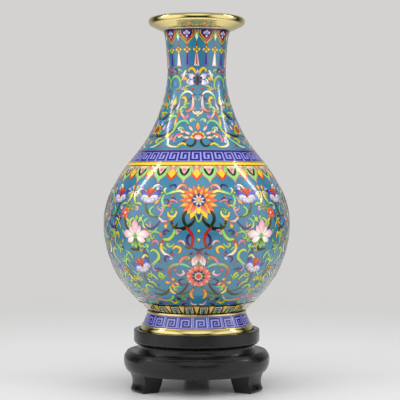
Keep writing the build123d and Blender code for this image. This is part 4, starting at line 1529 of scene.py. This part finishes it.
        pen.tendril(G.MINT, G.LEMON, (12.8, 128.8), 70, 5.5)
        pen.tendril(G.SLATE, G.NAVY, (9.4, 108.6), 80, 4.5)
        pen.tendril(G.LAVENDER, G.PALE_LAVENDER, (27.6, 109.4), 95, 4.5)
        pen.tendril(G.LEAF, G.PALE_GREEN, (35.4, 109.4), 60, 5)
        pen.tendril(G.MINT, G.LEMON, (38.4, 121.6), 50, 7, leaf=G.ORANGE)
        pen.tendril(G.PINK, G.ROSE, (44.8, 119), 200, 6)
        pen.tendril(G.MINT, G.LEMON, (40.6, 146.6), 110, 8.5, leaf=G.PINK)
        pen.tendril(G.NAVY, G.LAVENDER, (22.6, 148.4), 60, 6)
        pen.tendril(G.LEMON, G.PALE_GREEN, (21.8, 143.6), 140, -6)
        pen.tendril(G.PALE_GREEN, G.MINT, (5.8, 157.4), -20, 5)
        pen.tendril(G.LAVENDER, G.WHITE, (13.4, 166.4), 70, 5.5)
        pen.tendril(G.LEAF, G.MINT, (12.2, 217.6), 60, 5)
        pen.tendril(G.PINK, G.WHITE, (25.4, 222.4), 200, 5.5)
        pen.tendril(G.NAVY, G.LAVENDER, (25.6, 232), 120, -4.5)
        pen.tendril(G.PALE_GREEN, G.LEMON, (14.4, 180.4), 150, -5.5)
        pen.tendril(G.NAVY, G.SLATE, (16.8, 193.2), 60, 5)
        pen.tendril(G.MINT, G.YELLOW, (33, 148.6), 200, -6)
        pen.tendril(G.LEAF, G.MINT, (15.6, 115.2), 110, 5)
        pen.tendril(G.LAVENDER, G.PALE_LAVENDER, (36.4, 216), 120, 5)
        pen.tendril(G.PALE_GREEN, G.MINT, (19.4, 172), 30, 4.6)
        pen.tendril(G.LEAF, G.PALE_GREEN, (2.6, 161), 160, 4)
        pen.tendril(G.MINT, G.PALE_GREEN, (28.8, 190.6), 100, 5)
        pen.tendril(G.LAVENDER, G.NAVY, (33.4, 137.8), 60, -4.6)
        pen.tendril(G.DARK_GREEN, G.LEAF, (12.4, 203.4), 170, -4.6)
        pen.tendril(G.PALE_LAVENDER, G.WHITE, (23.6, 243.4), 60, 4.6)

    def draw(self, pen: Pen) -> None:
        """The whole quarter, but for what differs between quarters, in layers that rise over one another."""
        pen.layer(GROUND_LAYER, self.tendrils, self.stems)
        pen.layer(SCROLL_LAYER, self.upper_scrolls, self.middle_scrolls, self.lower_scrolls)
        pen.layer(FLOWER_LAYER, self.side_flower, self.fan, self.small_lotus, self.lotus)


class MagnoliaSprays(BellyField):
    """What fills the outer part of the front and back quarters: magnolia, blossom and a leaning flower."""

    def magnolia(self, pen: Pen) -> None:
        """The magnolia on its woody branch."""
        heart = (40, 187.6)
        pen.vine(G.BLACK, [(41.6, 184), (38.8, 178.4), (38.6, 172.8), (42, 172), (45.4, 172.8)], 3.2,
                 tip=G.DARK_GREEN)
        pen.vine(G.BLACK, [(43.4, 192), (46.8, 197.6), (48.6, 204), (48.8, 211)], 2.2, tip=G.DARK_RED)
        for aim in (-152, -124, 124, 152, 178):
            pen.petal(G.LEAF, G.PALE_GREEN, heart, aim, 12.5, 4.6, start=2)
        pen.petal(G.LEAF, G.PALE_GREEN, (33.4, 181.4), -70, 9, 4.6)
        pen.petal(G.PALE_GREEN, G.MINT, (33.4, 180.6), -140, 8, 4.4)
        pen.petal(G.PALE_GREEN, G.LEMON, (38.4, 201.8), -40, 10, 4.6)
        pen.petal(G.LEAF, G.PALE_GREEN, (38.6, 201.6), 8, 10, 4.2)
        pen.petal(G.LEAF, G.PALE_GREEN, (49, 188.6), 30, 7, 3.6)
        pen.petal(G.LEAF, G.PALE_GREEN, (49.4, 186.4), 150, 8, 3.6)
        pen.petal(G.WHITE, G.PINK, heart, -34, 15.0, 7.2, sharp=0.62)
        pen.petal(G.WHITE, G.PINK, heart, 38, 15.0, 7.2, sharp=0.62)
        pen.petal(G.BLUSH, G.PINK, heart, 2, 20.4, 9.0, sharp=0.58)
        pen.petal(G.WHITE, G.PINK, heart, -76, 22.0, 8.6, sharp=0.64, bend=-0.1)
        pen.petal(G.WHITE, G.BLUSH, heart, -112, 15.4, 7.6, sharp=0.62)
        pen.petal(G.WHITE, G.PINK, heart, 80, 20.4, 8.6, sharp=0.64)
        pen.petal(G.WHITE, G.BLUSH, heart, 118, 14.4, 7.2, sharp=0.62)
        pen.dot(G.LEAF, heart, 2.9, rim=G.PALE_GREEN)

    def blossom(self, pen: Pen) -> None:
        """The small orange blossom over the branch, and the sprigs by it."""
        heart = (49, 214)
        for aim in range(0, 360, 72):
            pen.petal(G.CORAL, G.ORANGE, heart, aim, 6.4, 4.8, start=0.6, sharp=0.6)
        pen.dot(G.WHITE, heart, 1.6)
        pen.dot(G.RED, (54.4, 211.6), 1.9)
        pen.dot(G.DARK_RED, (53.2, 207.4), 1.7)

    def leaning_flower(self, pen: Pen) -> None:
        """The lower flower that leans over, with its hook."""
        pen.vine(G.CREAM, [(37.4, 161.6), (34.2, 166), (32.6, 164)], 2.0, tip=G.LEMON, curl=(1.3, -120))
        self.bowl_flower(pen, (38.4, 153.4), 18, 1.22)
        pen.vine(G.PALE_GREEN, [(44.6, 160), (45.6, 166), (49.6, 171.6)], 2.2)
        pen.petal(G.NAVY, G.SLATE, (51.6, 171), 20, 5, 2.2)
        pen.vine(G.PALE_GREEN, [(46.8, 157.4), (50.2, 160.4), (52.6, 156), (50.4, 150)], 2.2, tip=G.LEMON)
        for aim in (-30, 42, 114, 186, 258):
            pen.petal(G.ORANGE, G.YELLOW, (55, 147.6), aim, 4.6, 3.0)
        pen.vine(G.PALE_YELLOW, [(54, 143), (50.4, 136), (46.4, 130.4)], 2.2, tip=G.LEAF)
        pen.petal(G.LEAF, G.LEMON, (48.6, 132), 150, 8, 4.4)

    def outer_tendrils(self, pen: Pen) -> None:
        """Curling scrolls between the sprays."""
        pen.tendril(G.LEMON, G.PALE_GREEN, (52.4, 195), 15, 8, leaf=G.YELLOW)
        pen.tendril(G.NAVY, G.LAVENDER, (53.6, 203.6), 30, 8)
        pen.tendril(G.LEAF, G.LEMON, (50.4, 181.4), 95, 8, leaf=G.LEAF)
        pen.tendril(G.MINT, G.LEMON, (46.8, 167.4), 100, 6.5)
        pen.tendril(G.PINK, G.BLUSH, (43.6, 215.6), -20, -6)
        pen.tendril(G.NAVY, G.PALE_LAVENDER, (57, 190.4), 10, 7)
        pen.tendril(G.SLATE, G.NAVY, (32.6, 174.6), 120, 5.5)
        pen.tendril(G.LEMON, G.YELLOW, (44, 140.6), 150, -6)
        pen.tendril(G.LAVENDER, G.WHITE, (49.4, 222), 60, 6)
        pen.tendril(G.MINT, G.LEMON, (53, 165.6), 200, -6)
        pen.tendril(G.MINT, G.PALE_GREEN, (46.4, 207.6), 230, -6)

    def draw(self, pen: Pen) -> None:
        """All of it."""
        pen.layer(SPRAY_LAYER, self.outer_tendrils)
        pen.layer(FLOWER_LAYER, self.magnolia, self.blossom, self.leaning_flower)


class SideSprays(BellyField):
    """What fills the outer part of the side quarters: plainer scrolls and buds."""

    def draw(self, pen: Pen) -> None:
        """Scrolls that stay clear of the front quarter's sprays."""
        pen.vine(G.LEMON, [(28, 196), (31, 188), (30.4, 180), (33, 173)], 2.3, tip=G.PALE_GREEN)
        pen.vine(G.YELLOW, [(31, 188), (34.6, 191), (35.4, 186)], 2.0, curl=(1.6, 150))
        pen.vine(G.MINT, [(31, 178), (34.4, 172), (34.4, 165)], 2.2, tip=G.PALE_GREEN)
        pen.petal(G.CORAL, G.RED, (33, 197.6), 20, 7, 3.2)


# ---------------------------------------------------------------- other pieces


@dataclass
class MetalAndCopper:
    """Carried-over CAD pieces of the vase: rims, border wires, copper and inner enamel."""

    gilt: tuple[str, ...] = (
        "gilt_mouth_rim",
        "gilt_foot_ring",
        "gilt_foot_junction_ring",
        "wire_rim",
        "wire_shoulder",
        "wire_strip",
        "wire_ruyi",
        "wire_lappets",
    )
    copper: tuple[str, ...] = (
        "copper_neck",
        "copper_shoulder",
        "copper_lower_belly",
        "copper_foot_skirt",
        "copper_floor_plate",
    )
    inner: tuple[str, ...] = ("enamel_inner_lining", "enamel_inner_floor", "enamel_base")

    def dress(self) -> None:
        """Give each its finish."""
        for names, finish in (
            (self.gilt, GILT),
            (self.copper, COPPER),
            (self.inner, enamel("counter_enamel", G.DEEP_TURQUOISE)),
        ):
            material = finish.material()
            for name in names:
                dress(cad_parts[name], material)


@dataclass
class Stand:
    """The lacquered stand, its fixings and the felt in its seat."""

    lacquered: tuple[str, ...] = ("stand_seat", "stand_waist", "stand_apron", "leg_left", "leg_right",
                                  "leg_back")

    def dress(self) -> None:
        """Give each piece its finish."""
        lacquer = LACQUER.material()
        for name in self.lacquered:
            dress(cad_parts[name], lacquer)
        dress(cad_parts["leg_dowels"], BARE_WOOD.material())
        dress(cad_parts["layer_screws"], STEEL.material())

    def felt(self) -> bpy.types.Object:
        """Cut the felt disc, with a soft, uneven edge and a slight nap.

        Returns:
            The disc, riding on its own body.
        """
        low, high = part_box("felt_seat_pad")
        radius, bottom, top = high.x / MM, low.z / MM, high.z / MM
        count = FELT_FLATS
        turn = np.linspace(0, 2 * np.pi, count, endpoint=False)
        fray = radius - 0.25 + 0.12 * np.sin(17 * turn) + 0.08 * np.sin(41 * turn + 1)
        bevel = 0.25
        levels = ((0.5, top), (0.97, top), (1.0, top - bevel), (1.0, bottom + bevel), (0.97, bottom),
                  (0.5, bottom))
        rows = [np.stack([fray * share * np.cos(turn), fray * share * np.sin(turn), np.full(count, z)], -1)
                for share, z in levels]
        faces = rings_of_quads(len(rows), count, True)[:, ::-1]
        column = np.arange(count)
        after = (column + 1) % count
        top_hub, last_row = len(rows) * count, (len(rows) - 1) * count
        hubs = []
        for hub, base, corners in ((top_hub, 0, [0, 1, 2, 3]), (top_hub + 1, last_row, [1, 0, 2, 3])):
            ring = np.stack([base + column, base + after, np.full(count, hub), np.full(count, hub)], -1)
            hubs.append(ring[:, corners])
        points = np.concatenate(rows + [np.array([[0, 0, top], [0, 0, bottom]])])
        disc = mesh_object("felt_disc", points, np.concatenate([faces, *hubs]))
        dress(disc, FELT.material())
        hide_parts("felt_seat_pad")
        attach(disc, "seat_pad")
        return disc


@dataclass
class Studio:
    """Pale sweep, softboxes and camera."""

    lens: float = 113.85
    distance: float = 1.5345
    eye_height: float = 0.2549
    pitch: float = -1.04
    aim_right: float = 0.0040
    backdrop: tuple[float, float, float] = (211, 210, 209)
    subject: Point3 = (0.0, 0.0, 0.22)
    room_glow: float = 0.03
    glows: tuple[tuple[Point3, float, float, float], ...] = (
        ((-0.9, -0.42, 0.2), 0.68, 0.95, 1.35),
        ((0.92, -0.38, 0.2), 0.68, 0.95, 1.2),
        ((0.0, 1.0, 0.0), 0.4, 0.98, 0.5),
        ((0.0, 0.1, 1.0), 0.5, 0.95, 0.5),
        ((0.0, -0.76, 0.65), 0.76, 0.98, 1.3),
    )
    floor_rings: tuple[float, ...] = (5, 100, 200, 400, 800, 1500, 3000)
    floor_colour: Point3 = (228, 228, 228)
    floor_roughness: float = 0.36
    floor_fade: Point = (0.25, 1.3)

    def camera(self) -> None:
        """Place the camera in front."""
        data = bpy.data.cameras.new("camera")
        data.lens = self.lens
        data.sensor_width = 36.0
        data.clip_end = 20.0
        camera = bpy.data.objects.new("camera", data)
        camera.location = (0.0, -self.distance, self.eye_height)
        yaw = -math.atan2(self.aim_right, self.distance)
        camera.rotation_euler = (math.radians(90 + self.pitch), 0.0, yaw)
        bpy.context.scene.collection.objects.link(camera)
        bpy.context.scene.camera = camera

    def softbox(self, name: str, place: Point3, size: Point, power: float, mirrored: bool) -> None:
        """A soft rectangular light.

        Args:
            name: its name.
            place: where it stands.
            size: its width and height.
            power: its strength in watts.
            mirrored: whether polished surfaces show it; the air already has a glow where the scrims are.
        """
        data = bpy.data.lights.new(name, "AREA")
        data.shape = "RECTANGLE"
        data.size, data.size_y = size
        data.energy = power
        light = bpy.data.objects.new(name, data)
        light.visible_glossy = mirrored
        light.location = place
        light.rotation_euler = (Vector(self.subject) - Vector(place)).to_track_quat("-Z", "Y").to_euler()
        bpy.context.scene.collection.objects.link(light)

    def build(self) -> None:
        """Set the whole studio up."""
        scene = bpy.context.scene
        scene.view_settings.view_transform = "Standard"
        self.air()
        self.camera()
        for name, place, size, power, mirrored in (
            ("scrim_left", (-1.55, -1.05, 0.95), (1.1, 1.5), 11.4, False),
            ("scrim_right", (1.6, -1.0, 0.9), (1.0, 1.5), 10.5, False),
            ("strip_left", (-1.2, 0.05, 1.25), (0.10, 0.8), 2.6, True),
            ("strip_right", (1.2, 0.05, 1.15), (0.10, 0.9), 2.8, True),
            ("front_fill", (-0.1, -1.9, 1.5), (1.6, 1.2), 6.5, False),
            ("top_box", (0.0, -0.1, 1.7), (1.4, 1.4), 13.0, False),
        ):
            self.softbox(name, place, size, power, mirrored)
        self.floor()

    def air(self) -> None:
        """An even pale backdrop to look at, and a dim room with hazy scrims to be mirrored."""
        world = bpy.data.worlds.new("studio_air")
        bpy.context.scene.world = world
        world.use_nodes = True
        n = Nodes(world.node_tree)
        out = next(node for node in n.tree.nodes if node.type == "OUTPUT_WORLD")
        seen = next(node for node in n.tree.nodes if node.type == "BACKGROUND")
        seen.inputs["Color"].default_value = linear(self.backdrop)
        mirrored = n.add("ShaderNodeBackground")
        place = n.add("ShaderNodeTexCoord")
        total = None
        for aim, start, stop, glow in self.glows:
            dot = n.add("ShaderNodeVectorMath", operation="DOT_PRODUCT")
            dot.inputs[1].default_value = Vector(aim).normalized()
            n.link(place.outputs["Generated"], dot.inputs[0])
            reach = n.add("ShaderNodeMapRange", interpolation_type="SMOOTHSTEP",
                          From_Min=start, From_Max=stop, To_Max=glow)
            n.link(dot.outputs["Value"], reach.inputs["Value"])
            if total is None:
                total = reach.outputs[0]
            else:
                most = n.add("ShaderNodeMath", operation="MAXIMUM")
                n.link(total, most.inputs[0])
                n.link(reach.outputs[0], most.inputs[1])
                total = most.outputs[0]
        dim = n.add("ShaderNodeMath", operation="ADD")
        dim.inputs[1].default_value = self.room_glow
        n.link(total, dim.inputs[0])
        n.link(dim.outputs[0], mirrored.inputs["Strength"])
        path = n.add("ShaderNodeLightPath")
        mix = n.add("ShaderNodeMixShader")
        n.link(path.outputs["Is Camera Ray"], mix.inputs[0])
        n.link(mirrored.outputs[0], mix.inputs[1])
        n.link(seen.outputs[0], mix.inputs[2])
        n.link(mix.outputs[0], out.inputs["Surface"])

    def floor(self) -> None:
        """A pale, slightly glossy floor that melts into the air around it."""
        count = FLOOR_FLATS
        turn = np.linspace(0, 2 * np.pi, count, endpoint=False)
        rows = [np.stack([r * np.cos(turn), r * np.sin(turn), np.zeros(count)], -1) for r in self.floor_rings]
        hub = len(rows) * count
        column = np.arange(count)
        after = (column + 1) % count
        cap = np.stack([after, column, np.full(count, hub), np.full(count, hub)], -1)
        faces = np.concatenate([rings_of_quads(len(rows), count, True)[:, ::-1], cap])
        floor = mesh_object("floor", np.concatenate(rows + [np.zeros((1, 3))]), faces)
        floor.location.z = -0.0002
        material = bpy.data.materials.new("pale_floor")
        material.use_nodes = True
        n = Nodes(material.node_tree)
        shader = next(node for node in n.tree.nodes if node.type == "BSDF_PRINCIPLED")
        out = next(node for node in n.tree.nodes if node.type == "OUTPUT_MATERIAL")
        shader.inputs["Base Color"].default_value = linear(self.floor_colour)
        shader.inputs["Roughness"].default_value = self.floor_roughness
        clear = n.add("ShaderNodeBsdfTransparent")
        place = n.add("ShaderNodeTexCoord")
        far = n.add("ShaderNodeVectorMath", operation="LENGTH")
        fade = n.add("ShaderNodeMapRange", interpolation_type="SMOOTHSTEP",
                     From_Min=self.floor_fade[0], From_Max=self.floor_fade[1])
        mix = n.add("ShaderNodeMixShader")
        n.link(place.outputs["Object"], far.inputs[0])
        n.link(far.outputs["Value"], fade.inputs["Value"])
        n.link(fade.outputs[0], mix.inputs[0])
        n.link(shader.outputs[0], mix.inputs[1])
        n.link(clear.outputs[0], mix.inputs[2])
        n.link(mix.outputs[0], out.inputs["Surface"])
        dress(floor, material)


def main() -> None:
    """Build every piece in order and report it."""
    logging.basicConfig(level=logging.INFO, format="%(name)s: %(message)s")
    Effects.build()
    Studio().build()
    wall = Wall.from_nodes([coat.node for coat in COATS])
    log.info("wall from %.1f to %.1f mm", wall.z[0], wall.z[-1])
    for coat in COATS:
        coat.build(wall)
    foot_wall = Wall.from_nodes(["enamel_foot_fret"])
    Coat("enamel_foot_fret", G.PERIWINKLE, "enamel_lavender").build(foot_wall)
    cell_paint = enamel("painted_enamel", None).material()
    wire_paint = WIRE_GILT.material()
    quarters = [0.0, 90.0, 180.0, 270.0]
    drawings = (
        MouthBorder("mouth_border", even(10, 18)),
        TasselBand("tassels", even(5)),
        NeckField("neck", even(3), turn=1.6),
        ShoulderFret("shoulder_fret", even(36)),
        RuyiBorder("ruyi_border", even(20), wires_replace="wire_belly"),
        BellyField("belly", quarters, pieces=4, turn=1.2),
        MagnoliaSprays("magnolia", [0.0, 180.0], turn=1.2),
        SideSprays("side_sprays", [90.0, 270.0], turn=1.2, lift=SIDE_SPRAY_LAYER),
        FootLappets("foot_lappets", even(24)),
    )
    for drawing in drawings:
        log.info("%s: %d faces", drawing.name, drawing.build(wall, cell_paint, wire_paint))
    foot_fret = FootFret("foot_fret", even(22, 4))
    log.info("%s: %d faces", foot_fret.name, foot_fret.build(foot_wall, cell_paint, wire_paint))
    MetalAndCopper().dress()
    stand = Stand()
    stand.dress()
    stand.felt()


if __name__ == "__main__":
    main()
